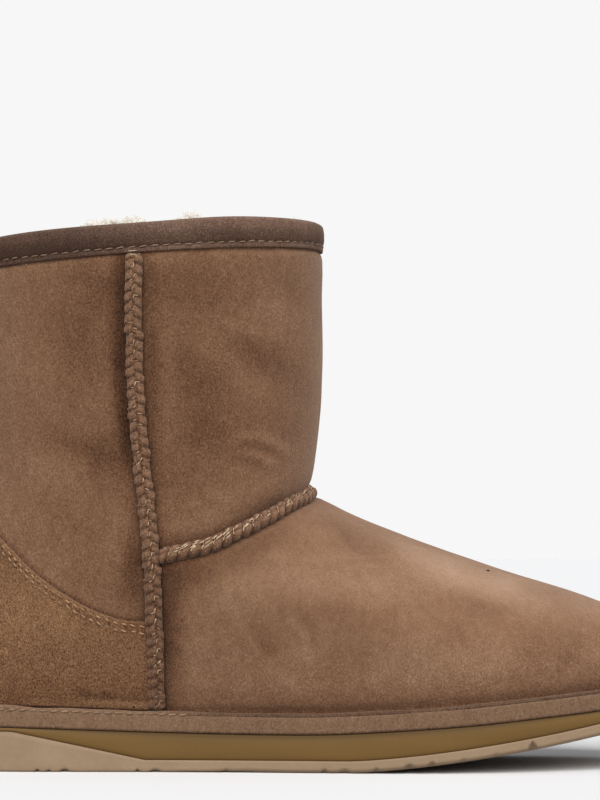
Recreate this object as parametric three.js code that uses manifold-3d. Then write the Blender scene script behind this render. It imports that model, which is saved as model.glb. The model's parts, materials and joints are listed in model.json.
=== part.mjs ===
// Low sheepskin boot for the right foot, standing empty on its sole.
// Millimetres. +Z is up, the toe points to +X and the outer side of the foot faces -Y.
// Lengths along the boot are measured from the back of the heel.
import * as THREE from "three";
import { mergeVertices } from "three/addons/utils/BufferGeometryUtils.js";
import Module from "manifold-3d";

// Sole
const soleLength = 275;
const ballWidth = 104;
const toeSwing = 4;
const outsoleThickness = 4.2;
const midsoleThickness = 8.8;
const midsoleEdge = 1;
const toeSpring = 20;
const springStart = 154;
const springPower = 1.4;
const deckRise = 12;
const heelLift = 2.3;
const waistLift = 0.3;
const heelBevel = 1.4;
const wedgeReach = 84;
const wedgeSlope = 0.21;

// Lugs of the outsole
const lugGrooveWidth = 3;
const lugGrooveDepth = 2;
const lugPitch = 10.4;
const lugWave = 3.2;
const lugWaves = 4;
const heelLugStart = 20;
const heelLugEnd = 86;
const ballLugStart = 146;
const ballLugEnd = 240;

// Welt, insole and wall of the upper
const weltHeight = 7.4;
const weltThickness = 3;
const weltRound = 1.1;
const insoleThickness = 6;
const upperWall = 2.8;

// Foot part of the upper
const throatReach = 140.5;
const throatHeight = 97.2;
const ankleReach = 86.3;
const ankleHeight = 73.6;
const ankleWidth = 90;
const ankleBack = 6.5;
const ankleBackHeight = 66;
const vampLean = 62.5;
const vampPull = 0.5;
const toeLift = 0.205;
const wallPull = 0.35;
const toeBulge = 2.5;
const sideBulge = 4.5;
const footSeamReach = 88.2;

// Shaft and collar
const collarReach = 80;
const collarDepth = 131.4;
const collarWidth = 102;
const collarHeight = 186.5;
const collarTilt = 4.2;
const shinBulge = 2.6;
const seamSway = 2;
const achillesHollow = 3;

// Overlays
const bindingDepth = 8.5;
const bindingThickness = 1.3;
const bindingSink = 1.4;
const bindingStep = 1.7;
const counterThickness = 1.2;
const counterFrontHeight = 51.5;
const counterBackHeight = 96;
const sideSeamWidth = 6;
const sideSeamHeight = 2.6;
const vampCordDiameter = 4.2;
const seamGroove = 1.2;
const throatGroove = 0.36;
const seamGrooveRamp = 0.16;
const seamGrooveReach = 5.5;
const clearance = 0.3;
const overlayClearance = 0.45;

// Columns of points from the heel to each side seam, and from there to the toe
const rearColumns = 12;
const frontColumns = 20;
const footRows = 11;
const shaftRows = 8;

// Outline of the sole: fullness of each half as a share of half the ball's width.
const outlineRows = [
  { along: 0, outer: 1.35, inner: 1.35, swing: 0 },
  { along: 0.12, outer: 1.05, inner: 1.035, swing: 0 },
  { along: 0.25, outer: 0.83, inner: 0.79, swing: 0 },
  { along: 0.4, outer: 0.79, inner: 0.73, swing: 0 },
  { along: 0.55, outer: 0.885, inner: 0.8, swing: 0.1 },
  { along: 0.68, outer: 1.06, inner: 0.98, swing: 0.3 },
  { along: 0.8, outer: 1.2, inner: 1.15, swing: 0.6 },
  { along: 0.9, outer: 1.28, inner: 1.28, swing: 0.85 },
  { along: 1, outer: 1.42, inner: 1.42, swing: 1 },
];

// Top of the midsole: shares of the heel's lift and of the rise to the toe.
const deckRows = [
  { along: 0, lift: 1, rise: 0 },
  { along: 0.13, lift: 0.95, rise: 0 },
  { along: 0.3, lift: 0.35, rise: 0 },
  { along: 0.45, lift: 0.03, rise: 0 },
  { along: 0.55, lift: 0, rise: 0.03 },
  { along: 0.7, lift: 0, rise: 0.26 },
  { along: 0.786, lift: 0, rise: 0.46 },
  { along: 0.873, lift: 0, rise: 0.67 },
  { along: 1, lift: 0, rise: 1 },
];

// Underside: shares of the heel's bevel and of the waist's lift.
const groundRows = [
  { along: 0, bevel: 1, waist: 0 },
  { along: 0.03, bevel: 0.35, waist: 0 },
  { along: 0.07, bevel: 0, waist: 0 },
  { along: 0.31, bevel: 0, waist: 0 },
  { along: 0.36, bevel: 0, waist: 1 },
  { along: 0.42, bevel: 0, waist: 1 },
  { along: 0.47, bevel: 0, waist: 0 },
  { along: 1, bevel: 0, waist: 0 },
];

// Rise of the vamp seam from the side seam, turn 0, to the throat, turn 1.
const throatRows = [
  { turn: 0, rise: 0 },
  { turn: 0.22, rise: 0.17 },
  { turn: 0.42, rise: 0.45 },
  { turn: 0.69, rise: 0.8 },
  { turn: 1, rise: 1 },
];

// Top edge of the heel counter from the side seam, turn 0, to the back, turn 1.
const counterRows = [
  { turn: 0, rise: 0 },
  { turn: 0.1, rise: 0.03 },
  { turn: 0.19, rise: 0.12 },
  { turn: 0.31, rise: 0.33 },
  { turn: 0.46, rise: 0.64 },
  { turn: 0.65, rise: 0.9 },
  { turn: 1, rise: 1 },
];

const wasm = await Module();
wasm.setup();

function mix(from, to, share) {
  return from + (to - from) * share;
}

function clamp(value, low, high) {
  return Math.min(high, Math.max(low, value));
}

// Reads one column of a table with a smooth curve through its rows.
function readRows(rows, key, column, place) {
  const at = clamp(place, rows[0][key], rows[rows.length - 1][key]);
  let row = 0;
  while (row < rows.length - 2 && at > rows[row + 1][key]) {
    row += 1;
  }
  const slope = (first, second) =>
    (rows[second][column] - rows[first][column]) / (rows[second][key] - rows[first][key]);
  const before = slope(Math.max(0, row - 1), row + 1);
  const after = slope(row, Math.min(rows.length - 1, row + 2));
  const span = rows[row + 1][key] - rows[row][key];
  const share = (at - rows[row][key]) / span;
  const square = share * share;
  const cube = square * share;
  return (
    (2 * cube - 3 * square + 1) * rows[row][column] +
    (cube - 2 * square + share) * span * before +
    (3 * square - 2 * cube) * rows[row + 1][column] +
    (cube - square) * span * after
  );
}

// Joins sections of equal count into one closed solid, open ends capped by a ladder of faces.
function sweepSections(sections, closed) {
  const positions = [];
  const push = (a, b, c) => positions.push(a.x, a.y, a.z, b.x, b.y, b.z, c.x, c.y, c.z);
  const quad = (a, b, c, d) => {
    push(a, b, c);
    push(a, c, d);
  };
  const count = sections[0].length;
  const spans = closed ? sections.length : sections.length - 1;
  for (let index = 0; index < spans; index += 1) {
    const here = sections[index];
    const next = sections[(index + 1) % sections.length];
    for (let corner = 0; corner < count; corner += 1) {
      const after = (corner + 1) % count;
      quad(here[corner], here[after], next[after], next[corner]);
    }
  }
  if (!closed) {
    const first = sections[0];
    const last = sections[sections.length - 1];
    for (let rung = 0; rung < count / 2 - 1; rung += 1) {
      const far = count - 1 - rung;
      quad(first[rung], first[far], first[far - 1], first[rung + 1]);
      quad(last[rung], last[rung + 1], last[far - 1], last[far]);
    }
  }
  return closedGeometry(positions);
}

// Merges equal corners, drops flat faces and turns the faces outwards.
function closedGeometry(positions) {
  const loose = new THREE.BufferGeometry();
  loose.setAttribute("position", new THREE.Float32BufferAttribute(positions, 3));
  const merged = mergeVertices(loose, 1e-3);
  const index = Array.from(merged.index.array);
  const corner = [new THREE.Vector3(), new THREE.Vector3(), new THREE.Vector3()];
  const kept = [];
  let volume = 0;
  for (let face = 0; face < index.length; face += 3) {
    const [a, b, c] = index.slice(face, face + 3);
    if (a === b || b === c || c === a) {
      continue;
    }
    kept.push(a, b, c);
    corner.forEach((point, place) => point.fromBufferAttribute(merged.attributes.position, [a, b, c][place]));
    volume += corner[0].dot(corner[1].clone().cross(corner[2])) / 6;
  }
  if (volume < 0) {
    kept.reverse();
  }
  merged.setIndex(kept);
  return merged;
}

function toManifold(geometry) {
  return new wasm.Manifold(
    new wasm.Mesh({
      numProp: 3,
      vertProperties: new Float32Array(geometry.attributes.position.array),
      triVerts: new Uint32Array(geometry.index.array),
    }),
  );
}

function toGeometry(solid) {
  const mesh = solid.getMesh();
  const geometry = new THREE.BufferGeometry();
  geometry.setAttribute("position", new THREE.BufferAttribute(new Float32Array(mesh.vertProperties), 3));
  geometry.setIndex(new THREE.BufferAttribute(new Uint32Array(mesh.triVerts), 1));
  return geometry;
}

// Sole outline at a half turn from the heel, 0, to the toe, pi. Side is -1 outside and 1 inside.
function outlineBase(side, turn) {
  const along = (1 - Math.cos(turn)) / 2;
  const fullness = readRows(outlineRows, "along", side < 0 ? "outer" : "inner", along);
  const middle = toeSwing * readRows(outlineRows, "along", "swing", along);
  return new THREE.Vector2(
    soleLength * along,
    middle + side * Math.sin(turn) * fullness * (ballWidth / 2),
  );
}

function outlineOutward(side, turn) {
  const step = 0.01;
  const ahead = outlineBase(side, Math.min(Math.PI, turn + step));
  const behind = outlineBase(side, Math.max(0, turn - step));
  if (turn < step) {
    behind.set(ahead.x, 2 * outlineBase(side, 0).y - ahead.y);
  }
  if (turn > Math.PI - step) {
    ahead.set(behind.x, 2 * outlineBase(side, Math.PI).y - behind.y);
  }
  const run = ahead.sub(behind).normalize();
  return new THREE.Vector2(run.y * -side, run.x * side);
}

// Turns of the outline at equal steps of its length, kept for each side.
function measureOutline(side) {
  const steps = 400;
  const lengths = [0];
  let seam = 0;
  for (let step = 1; step <= steps; step += 1) {
    const here = outlineBase(side, (Math.PI * step) / steps);
    const before = outlineBase(side, (Math.PI * (step - 1)) / steps);
    lengths.push(lengths[step - 1] + here.distanceTo(before));
    if (here.x < footSeamReach) {
      seam = lengths[step];
    }
  }
  return { steps, lengths, seam };
}

const outlineMeasures = { outer: measureOutline(-1), inner: measureOutline(1) };

// March runs from the heel, 0, over the side seam, 1, to the toe, 2.
function turnAt(side, march) {
  const measure = side < 0 ? outlineMeasures.outer : outlineMeasures.inner;
  const total = measure.lengths[measure.steps];
  const wanted = march <= 1 ? march * measure.seam : mix(measure.seam, total, march - 1);
  let step = 1;
  while (step < measure.steps && measure.lengths[step] < wanted) {
    step += 1;
  }
  const span = measure.lengths[step] - measure.lengths[step - 1];
  const share = clamp((wanted - measure.lengths[step - 1]) / span, 0, 1);
  return (Math.PI * (step - 1 + share)) / measure.steps;
}

// Lap runs once round the boot: heel 0, outer side seam 1, toe 2, inner side seam 3.
function sideOf(lap) {
  const whole = ((lap % 4) + 4) % 4;
  return whole <= 2 ? { side: -1, march: whole } : { side: 1, march: 4 - whole };
}

function outlineAt(lap, inset) {
  const { side, march } = sideOf(lap);
  const turn = turnAt(side, march);
  const outward = outlineOutward(side, turn);
  return { point: outlineBase(side, turn).addScaledVector(outward, -inset), outward };
}

function deckHeight(x) {
  const along = x / soleLength;
  return (
    outsoleThickness +
    midsoleThickness +
    heelLift * readRows(deckRows, "along", "lift", along) +
    deckRise * readRows(deckRows, "along", "rise", along)
  );
}

function groundHeight(x) {
  const along = x / soleLength;
  const spring = clamp((x - springStart) / (soleLength - springStart), 0, 1);
  const bevel = heelBevel * clamp(readRows(groundRows, "along", "bevel", along), 0, 1);
  const waist = waistLift * clamp(readRows(groundRows, "along", "waist", along), 0, 1);
  return bevel + waist + toeSpring * Math.pow(spring, springPower);
}

// Line on the side where outsole and midsole meet: a wedge at the heel, then a level band.
function bandHeight(x) {
  const wedge = wedgeSlope * Math.max(0, wedgeReach - x);
  const waist = waistLift * clamp(readRows(groundRows, "along", "waist", x / soleLength), 0, 1);
  return Math.min(deckHeight(x) - midsoleEdge - clearance, groundHeight(x) - waist + outsoleThickness + wedge);
}

function lapColumns() {
  const laps = [];
  for (let quarter = 0; quarter < 4; quarter += 1) {
    const count = quarter === 0 || quarter === 3 ? rearColumns : frontColumns;
    for (let column = 0; column < count; column += 1) {
      laps.push(quarter + column / count);
    }
  }
  return laps;
}

// A level plate of the sole, between two height functions, its outline drawn in by an inset.
function buildPlate(inset, lowAt, highAt) {
  const marches = [];
  for (let column = 0; column <= rearColumns; column += 1) {
    marches.push(column / rearColumns);
  }
  for (let column = 1; column <= frontColumns; column += 1) {
    marches.push(1 + column / frontColumns);
  }
  const sections = marches.map((march) => {
    const outer = outlineAt(march, inset).point;
    const inner = outlineAt(4 - march, inset).point;
    return [
      new THREE.Vector3(outer.x, outer.y, lowAt(outer.x)),
      new THREE.Vector3(inner.x, inner.y, lowAt(inner.x)),
      new THREE.Vector3(inner.x, inner.y, highAt(inner.x)),
      new THREE.Vector3(outer.x, outer.y, highAt(outer.x)),
    ];
  });
  return sweepSections(sections, false);
}

// One wavy groove across the tread, set square to the underside at its place.
function buildLugGroove(x) {
  const reach = ballWidth;
  const steps = lugWaves * 2;
  const shape = new THREE.Shape();
  const edge = (offset, backwards) => {
    for (let step = 0; step <= steps; step += 1) {
      const place = backwards ? steps - step : step;
      const swing = place % 2 === 0 ? 0 : lugWave;
      const y = mix(-reach, reach, place / steps);
      if (step === 0 && !backwards) {
        shape.moveTo(offset + swing, y);
      } else {
        shape.lineTo(offset + swing, y);
      }
    }
  };
  edge(-lugGrooveWidth / 2, false);
  edge(lugGrooveWidth / 2, true);
  const drop = toeSpring + lugGrooveDepth;
  const geometry = new THREE.ExtrudeGeometry(shape, { depth: drop + lugGrooveDepth, bevelEnabled: false });
  geometry.translate(-lugWave / 2, 0, -drop);
  geometry.rotateY(-Math.atan(groundHeight(x + 0.5) - groundHeight(x - 0.5)));
  geometry.translate(x, 0, groundHeight(x));
  geometry.deleteAttribute("normal");
  geometry.deleteAttribute("uv");
  return toManifold(mergeVertices(geometry, 1e-3));
}

function buildOutsole() {
  let solid = toManifold(buildPlate(0, groundHeight, bandHeight));
  const zones = [
    [heelLugStart, heelLugEnd],
    [ballLugStart, ballLugEnd],
  ];
  for (const [start, end] of zones) {
    const count = Math.max(1, Math.round((end - start) / lugPitch));
    for (let index = 0; index <= count; index += 1) {
      solid = solid.subtract(buildLugGroove(mix(start, end, index / count)));
    }
  }
  return toGeometry(solid);
}

function buildMidsole() {
  return buildPlate(0, (x) => bandHeight(x) + clearance, deckHeight);
}

function buildInsole() {
  const inset = weltThickness + clearance + upperWall + clearance;
  return buildPlate(
    inset,
    (x) => deckHeight(x) + clearance,
    (x) => deckHeight(x) + clearance + insoleThickness,
  );
}

function buildWelt() {
  const sections = lapColumns().map((lap) => {
    const outer = outlineAt(lap, 0).point;
    const rounded = outlineAt(lap, weltRound).point;
    const inner = outlineAt(lap, weltThickness).point;
    const low = (point) => deckHeight(point.x) + clearance;
    const high = (point) => deckHeight(point.x) + weltHeight;
    return [
      new THREE.Vector3(outer.x, outer.y, low(outer)),
      new THREE.Vector3(outer.x, outer.y, high(outer) - weltRound),
      new THREE.Vector3(rounded.x, rounded.y, high(rounded)),
      new THREE.Vector3(inner.x, inner.y, high(inner)),
      new THREE.Vector3(inner.x, inner.y, low(inner)),
    ];
  });
  return sweepSections(sections, true);
}

// Oval ring round the ankle or the collar, wider at the back where asked.
function ovalPoint(lap, reach, back, front, halfWidth) {
  const { side, march } = sideOf(lap);
  const angle = (march * Math.PI) / 2;
  const depth = march <= 1 ? reach - back : front - reach;
  return new THREE.Vector2(reach - depth * Math.cos(angle), side * halfWidth * Math.sin(angle));
}

function ovalOutward(lap, reach, back, front, halfWidth) {
  const { side, march } = sideOf(lap);
  const angle = (march * Math.PI) / 2;
  const depth = march <= 1 ? reach - back : front - reach;
  return new THREE.Vector3(-Math.cos(angle) / depth, (side * Math.sin(angle)) / halfWidth, 0).normalize();
}

function collarPoint(lap) {
  const half = collarDepth / 2;
  const plan = ovalPoint(lap, collarReach, collarReach - half, collarReach + half, collarWidth / 2);
  const height = collarHeight + (plan.x - collarReach) * Math.tan(THREE.MathUtils.degToRad(collarTilt));
  return new THREE.Vector3(plan.x, plan.y, height);
}

function anklePoint(lap) {
  const plan = ovalPoint(lap, ankleReach, ankleBack, throatReach, ankleWidth / 2);
  const { march } = sideOf(lap);
  const height =
    march <= 1
      ? mix(ankleBackHeight, ankleHeight, Math.pow(march, 1.5))
      : mix(ankleHeight, throatHeight, readRows(throatRows, "turn", "rise", march - 1));
  return new THREE.Vector3(plan.x, plan.y, height);
}

// Share of a column that belongs to the front, 0 at the side seams and 1 at the toe.
function frontShare(lap) {
  const { march } = sideOf(lap);
  return march <= 1 ? 0 : Math.sin(((march - 1) * Math.PI) / 2);
}

function rearShare(lap) {
  const { march } = sideOf(lap);
  return march >= 1 ? 0 : Math.cos((march * Math.PI) / 2);
}

// Share of a column that belongs to the sides, 1 at the side seams.
function sideShare(lap) {
  return Math.sin((sideOf(lap).march * Math.PI) / 2);
}

// Bump of height 1 at a third of the way.
function lowBump(share) {
  return (27 / 4) * share * Math.pow(1 - share, 2);
}

// Bump of height 1 half way.
function middleBump(share) {
  return 16 * Math.pow(share * (1 - share), 2);
}

function collarOutward(lap) {
  const half = collarDepth / 2;
  return ovalOutward(lap, collarReach, collarReach - half, collarReach + half, collarWidth / 2);
}

// Point of the shaft at a share of its height above the vamp seam.
function shaftPoint(lap, share) {
  const low = anklePoint(lap);
  const high = collarPoint(lap);
  const bulge = shinBulge * Math.pow(frontShare(lap), 2) - achillesHollow * Math.pow(rearShare(lap), 2);
  const swell = bulge * lowBump(share);
  const point = low.lerp(high, share).addScaledVector(collarOutward(lap), swell);
  point.x -= seamSway * middleBump(share) * Math.pow(sideShare(lap), 4);
  return point;
}

// Curve of one column of the foot from the top of the welt to the vamp seam.
function footCurve(lap) {
  const { point, outward } = outlineAt(lap, weltThickness + clearance);
  const front = frontShare(lap);
  const start = new THREE.Vector3(point.x, point.y, deckHeight(point.x) + weltHeight + clearance);
  const end = anklePoint(lap);
  const chord = start.distanceTo(end);
  const bulge = mix(sideBulge, toeBulge, front);
  const rise = chord * mix(wallPull, toeLift, front);
  const first = start.clone().add(new THREE.Vector3(outward.x * bulge, outward.y * bulge, rise));
  const downShaft = end.clone().sub(shaftPoint(lap, 0.04)).normalize();
  const away = new THREE.Vector3(start.x - end.x, start.y - end.y, 0);
  const ringOut = ovalOutward(lap, ankleReach, ankleBack, throatReach, ankleWidth / 2);
  const plan = away.lengthSq() > 1 ? away.normalize().add(ringOut).normalize() : ringOut;
  const lean = THREE.MathUtils.degToRad(vampLean) * Math.pow(front, 1.2);
  const leave = downShaft.multiplyScalar(Math.cos(lean)).addScaledVector(plan, Math.sin(lean));
  const second = end.clone().addScaledVector(leave, chord * mix(wallPull, vampPull, front));
  return new THREE.CubicBezierCurve3(start, first, second, end);
}

const footCurves = new Map();

function footCurveAt(lap) {
  const key = lap.toFixed(5);
  if (!footCurves.has(key)) {
    const curve = footCurve(lap);
    curve.arcLengthDivisions = 60;
    footCurves.set(key, curve);
  }
  return footCurves.get(key);
}

// Outer surface. Level 0 to 1 is behind the welt, 1 to 2 the foot and 2 to 3 the shaft.
function skinPoint(lap, level) {
  if (level <= 1) {
    const top = footCurveAt(lap).getPoint(0);
    const low = deckHeight(top.x) + clearance;
    return new THREE.Vector3(top.x, top.y, mix(low, top.z, level));
  }
  if (level <= 2) {
    return footCurveAt(lap).getPointAt(level - 1);
  }
  return shaftPoint(lap, level - 2);
}

function skinNormal(lap, level) {
  const step = 0.012;
  const round = skinPoint(lap + step, level).sub(skinPoint(lap - step, level));
  const up = skinPoint(lap, Math.min(3, level + step)).sub(skinPoint(lap, Math.max(0, level - step)));
  return round.cross(up).normalize();
}

// Depth that the skin is drawn in: along the vamp seam and under the binding.
function skinSink(lap, level) {
  const { march } = sideOf(lap);
  const point = skinPoint(lap, level);
  const ramp = clamp((march - 1) / seamGrooveRamp, 0, 1);
  const depth = mix(seamGroove, throatGroove, clamp(march * 2 - 3, 0, 1));
  const apart = point.distanceTo(anklePoint(lap)) / seamGrooveReach;
  const seam = depth * ramp * Math.pow(Math.max(0, 1 - apart * apart), 2);
  const fromRim = point.distanceTo(collarPoint(lap));
  const rim = bindingSink * clamp((bindingDepth + bindingStep - fromRim) / bindingStep, 0, 1);
  return seam + rim;
}

function wallPoint(lap, level, offset) {
  return skinPoint(lap, level).addScaledVector(skinNormal(lap, level), offset - skinSink(lap, level));
}

function shaftLength(lap) {
  return collarPoint(lap).distanceTo(anklePoint(lap));
}

// Level of the shaft at a length below the collar's rim.
function levelUnderRim(lap, length) {
  return 3 - length / shaftLength(lap);
}

// Share that moves in small steps at both ends.
function easedShare(share) {
  return (1 - Math.cos(Math.PI * share)) / 2;
}

function outerLevels(lap) {
  const levels = [0, 1];
  for (let row = 1; row <= footRows; row += 1) {
    levels.push(1 + easedShare(row / footRows));
  }
  const last = levelUnderRim(lap, bindingDepth + bindingStep);
  for (let row = 1; row <= shaftRows; row += 1) {
    levels.push(mix(2, last, Math.pow(row / shaftRows, 1.4)));
  }
  levels.push(levelUnderRim(lap, bindingDepth), 3);
  return levels;
}

function innerLevels() {
  const levels = [0, 1];
  const foot = Math.round(footRows * 0.6);
  const shaft = Math.round(shaftRows * 0.5);
  for (let row = 1; row <= foot; row += 1) {
    levels.push(1 + easedShare(row / foot));
  }
  for (let row = 1; row <= shaft; row += 1) {
    levels.push(2 + row / shaft);
  }
  return levels;
}

function insidePoint(lap, level) {
  const point = skinPoint(lap, level).addScaledVector(skinNormal(lap, level), -upperWall);
  if (level === 0) {
    point.z = deckHeight(point.x) + clearance;
  }
  return point;
}

function buildUpper() {
  const sections = lapColumns().map((lap) => {
    const outside = outerLevels(lap).map((level) => wallPoint(lap, level, 0));
    const inside = innerLevels().map((level) => insidePoint(lap, level));
    return outside.concat(inside.reverse());
  });
  return sweepSections(sections, true);
}

// Folded strip over the rim, with a leg down each face of the wall.
function buildBinding() {
  const sections = lapColumns().map((lap) => {
    const under = levelUnderRim(lap, bindingDepth);
    const outward = skinNormal(lap, 3);
    const rim = skinPoint(lap, 3).addScaledVector(outward, -bindingSink);
    const foot = skinPoint(lap, under).addScaledVector(outward, -bindingSink);
    const inward = -(upperWall - bindingSink) - clearance;
    const place = (base, offset, rise) => {
      const point = base.clone().addScaledVector(outward, offset);
      point.z += rise;
      return point;
    };
    const cover = clearance + bindingThickness;
    const chamfer = bindingThickness * 0.6;
    return [
      place(foot, clearance, 0),
      place(rim, clearance, clearance),
      place(rim, inward, clearance),
      place(foot, inward, 0),
      place(foot, inward - bindingThickness, 0),
      place(rim, inward - bindingThickness, clearance),
      place(rim, inward - bindingThickness + chamfer, cover),
      place(rim, cover - chamfer, cover),
      place(rim, cover, clearance),
      place(foot, cover, 0),
    ];
  });
  return sweepSections(sections, true);
}

// Lap step that clears a length beside a column, towards one side of it, from welt to ankle.
function lapStep(lap, towards, length) {
  const step = 0.01 * towards;
  const pace = [1, 1.5, 2].map((level) => skinPoint(lap + step, level).distanceTo(skinPoint(lap, level)));
  return (length * 0.01) / Math.min(...pace);
}

// Level of a column at a height, found between two levels by halving.
function levelAtHeight(lap, height) {
  let low = 1;
  let high = 3;
  for (let round = 0; round < 24; round += 1) {
    const middle = (low + high) / 2;
    if (skinPoint(lap, middle).z < height) {
      low = middle;
    } else {
      high = middle;
    }
  }
  return low;
}

function weltTop(lap) {
  return skinPoint(lap, 1).z;
}

// Overlay round the heel, from one side seam to the other.
function buildCounter() {
  const rows = 10;
  const sections = [];
  for (let column = -rearColumns; column <= rearColumns; column += 1) {
    const end = Math.abs(column) === rearColumns;
    const seam = column < 0 ? -1 : 1;
    const trim = end ? lapStep(seam, -seam, sideSeamWidth / 2 + clearance * 2) : 0;
    const lap = column / rearColumns - seam * trim;
    const turn = 1 - Math.abs(lap);
    const height = mix(counterFrontHeight, counterBackHeight, readRows(counterRows, "turn", "rise", turn));
    const bottom = levelAtHeight(lap, weltTop(lap) + overlayClearance);
    const top = levelAtHeight(lap, height);
    const inner = [];
    const outer = [];
    for (let row = 0; row <= rows; row += 1) {
      const level = mix(bottom, top, row / rows);
      inner.push(wallPoint(lap, level, overlayClearance));
      outer.push(wallPoint(lap, level, overlayClearance + counterThickness));
    }
    sections.push(inner.concat(outer.reverse()));
  }
  return sweepSections(sections, false);
}

// Raised rib along a side seam, flat on the wall and round outside.
function buildSideSeam(lap) {
  const rows = 16;
  const bottom = levelAtHeight(lap, weltTop(lap) + overlayClearance);
  const top = levelUnderRim(lap, bindingDepth + bindingStep + clearance);
  const half = sideSeamWidth / 2;
  const profile = [
    { across: -1, proud: 0 },
    { across: -0.33, proud: 0 },
    { across: 0.33, proud: 0 },
    { across: 1, proud: 0 },
    { across: 1, proud: 0.35 },
    { across: 0.5, proud: 1 },
    { across: -0.5, proud: 1 },
    { across: -1, proud: 0.35 },
  ];
  const sections = [];
  for (let row = 0; row <= rows; row += 1) {
    const level = mix(bottom, top, row / rows);
    const base = wallPoint(lap, level, overlayClearance);
    const outward = skinNormal(lap, level);
    const across = skinPoint(lap + 0.01, level).sub(skinPoint(lap - 0.01, level)).normalize();
    sections.push(
      profile.map((corner) =>
        base
          .clone()
          .addScaledVector(across, corner.across * half)
          .addScaledVector(outward, corner.proud * sideSeamHeight),
      ),
    );
  }
  return sweepSections(sections, false);
}

// Cord seam that lies in the crease between foot and shaft.
function buildVampSeam() {
  const radius = vampCordDiameter / 2;
  const corners = 8;
  const trim = lapStep(1, 1, sideSeamWidth / 2 + clearance * 2);
  const laps = [1 + trim];
  for (let column = 1; column < frontColumns * 2; column += 1) {
    const lap = 1 + column / frontColumns;
    if (lap > 1 + trim * 1.5 && lap < 3 - trim * 1.5) {
      laps.push(lap);
    }
  }
  laps.push(3 - trim);
  const sections = laps.map((lap) => {
    const corner = wallPoint(lap, 2, 0);
    const upLevel = 2 + seamGrooveReach / shaftLength(lap);
    const downLevel = 2 - seamGrooveReach / footCurveAt(lap).getLength();
    const up = wallPoint(lap, upLevel, 0).sub(corner).normalize();
    const down = wallPoint(lap, downLevel, 0).sub(corner).normalize();
    const halfAngle = up.angleTo(down) / 2;
    const outward = skinNormal(lap, 2);
    const across = up.clone().sub(down).normalize();
    const middle = corner.addScaledVector(outward, (radius + clearance) / Math.sin(halfAngle));
    const ring = [];
    for (let index = 0; index < corners; index += 1) {
      const angle = ((index + 0.5) * 2 * Math.PI) / corners;
      ring.push(
        middle
          .clone()
          .addScaledVector(across, radius * Math.cos(angle))
          .addScaledVector(outward, radius * Math.sin(angle)),
      );
    }
    return ring;
  });
  return sweepSections(sections, false);
}

const suede = { color: 0x7d5d43, roughness: 0.95, metalness: 0 };
const finishes = {
  outsole: { color: 0xa08466, roughness: 0.8, metalness: 0 },
  midsole: { color: 0x7a5c33, roughness: 0.7, metalness: 0 },
  welt: { color: 0x80644b, roughness: 0.95, metalness: 0 },
  insole: { color: 0xe6ddcc, roughness: 1, metalness: 0 },
  upper: suede,
  heel_counter: { color: 0x75543a, roughness: 0.95, metalness: 0 },
  collar_binding: { color: 0x6a5040, roughness: 0.85, metalness: 0 },
  side_seam_outer: suede,
  side_seam_inner: suede,
  vamp_seam: { color: 0x8c6d52, roughness: 0.95, metalness: 0 },
};

const pieces = {
  outsole: buildOutsole(),
  midsole: buildMidsole(),
  welt: buildWelt(),
  insole: buildInsole(),
  upper: buildUpper(),
  heel_counter: buildCounter(),
  collar_binding: buildBinding(),
  side_seam_outer: buildSideSeam(1),
  side_seam_inner: buildSideSeam(3),
  vamp_seam: buildVampSeam(),
};

const boot = new THREE.Group();
for (const [name, geometry] of Object.entries(pieces)) {
  const mesh = new THREE.Mesh(geometry, new THREE.MeshStandardMaterial(finishes[name]));
  mesh.name = name;
  boot.add(mesh);
}

// The boot's origin lies under the middle of its box, on the floor.
const box = new THREE.Box3().setFromObject(boot);
boot.position.set(-(box.min.x + box.max.x) / 2, -(box.min.y + box.max.y) / 2, -box.min.z);

export default boot;
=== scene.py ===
"""Low sheepskin boot for the right foot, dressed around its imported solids.

The shape counts in millimetres in the boot's own frame: x runs from the back of the heel to the toe, y across with
the outer side of the foot towards -y, and z up from the floor. Meshes are in metres, in the frame's own place.
"""

import json
import logging
import math
from collections.abc import Callable
from dataclasses import dataclass, field
from enum import Enum

import bpy
import numpy as np
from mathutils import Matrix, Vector, noise

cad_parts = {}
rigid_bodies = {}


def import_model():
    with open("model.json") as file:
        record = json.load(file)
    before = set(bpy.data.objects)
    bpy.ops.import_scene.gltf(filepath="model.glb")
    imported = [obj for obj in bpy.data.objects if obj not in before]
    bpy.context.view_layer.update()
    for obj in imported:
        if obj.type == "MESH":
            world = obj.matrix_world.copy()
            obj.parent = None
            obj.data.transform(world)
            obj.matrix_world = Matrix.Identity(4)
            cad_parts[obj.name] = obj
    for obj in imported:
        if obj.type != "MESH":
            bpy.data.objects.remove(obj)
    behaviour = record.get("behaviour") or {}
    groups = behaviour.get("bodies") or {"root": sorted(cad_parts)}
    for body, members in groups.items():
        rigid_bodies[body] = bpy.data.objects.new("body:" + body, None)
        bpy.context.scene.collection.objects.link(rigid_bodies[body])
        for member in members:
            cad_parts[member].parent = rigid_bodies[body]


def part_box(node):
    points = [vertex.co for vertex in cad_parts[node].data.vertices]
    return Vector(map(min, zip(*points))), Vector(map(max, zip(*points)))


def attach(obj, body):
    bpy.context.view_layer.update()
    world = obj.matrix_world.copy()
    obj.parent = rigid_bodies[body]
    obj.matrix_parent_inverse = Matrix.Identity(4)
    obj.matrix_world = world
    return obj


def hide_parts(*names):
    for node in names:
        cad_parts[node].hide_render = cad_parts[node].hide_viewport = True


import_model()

log = logging.getLogger("boot")

MM = 0.001
SAME_PLACE = 2e-6
ROOT = "root"
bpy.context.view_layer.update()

Array = np.ndarray
Pair = tuple[Array, Array]
Piece = bpy.types.Object
Material = bpy.types.Material
Socket = bpy.types.NodeSocket
Colour = tuple[int, int, int]


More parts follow.
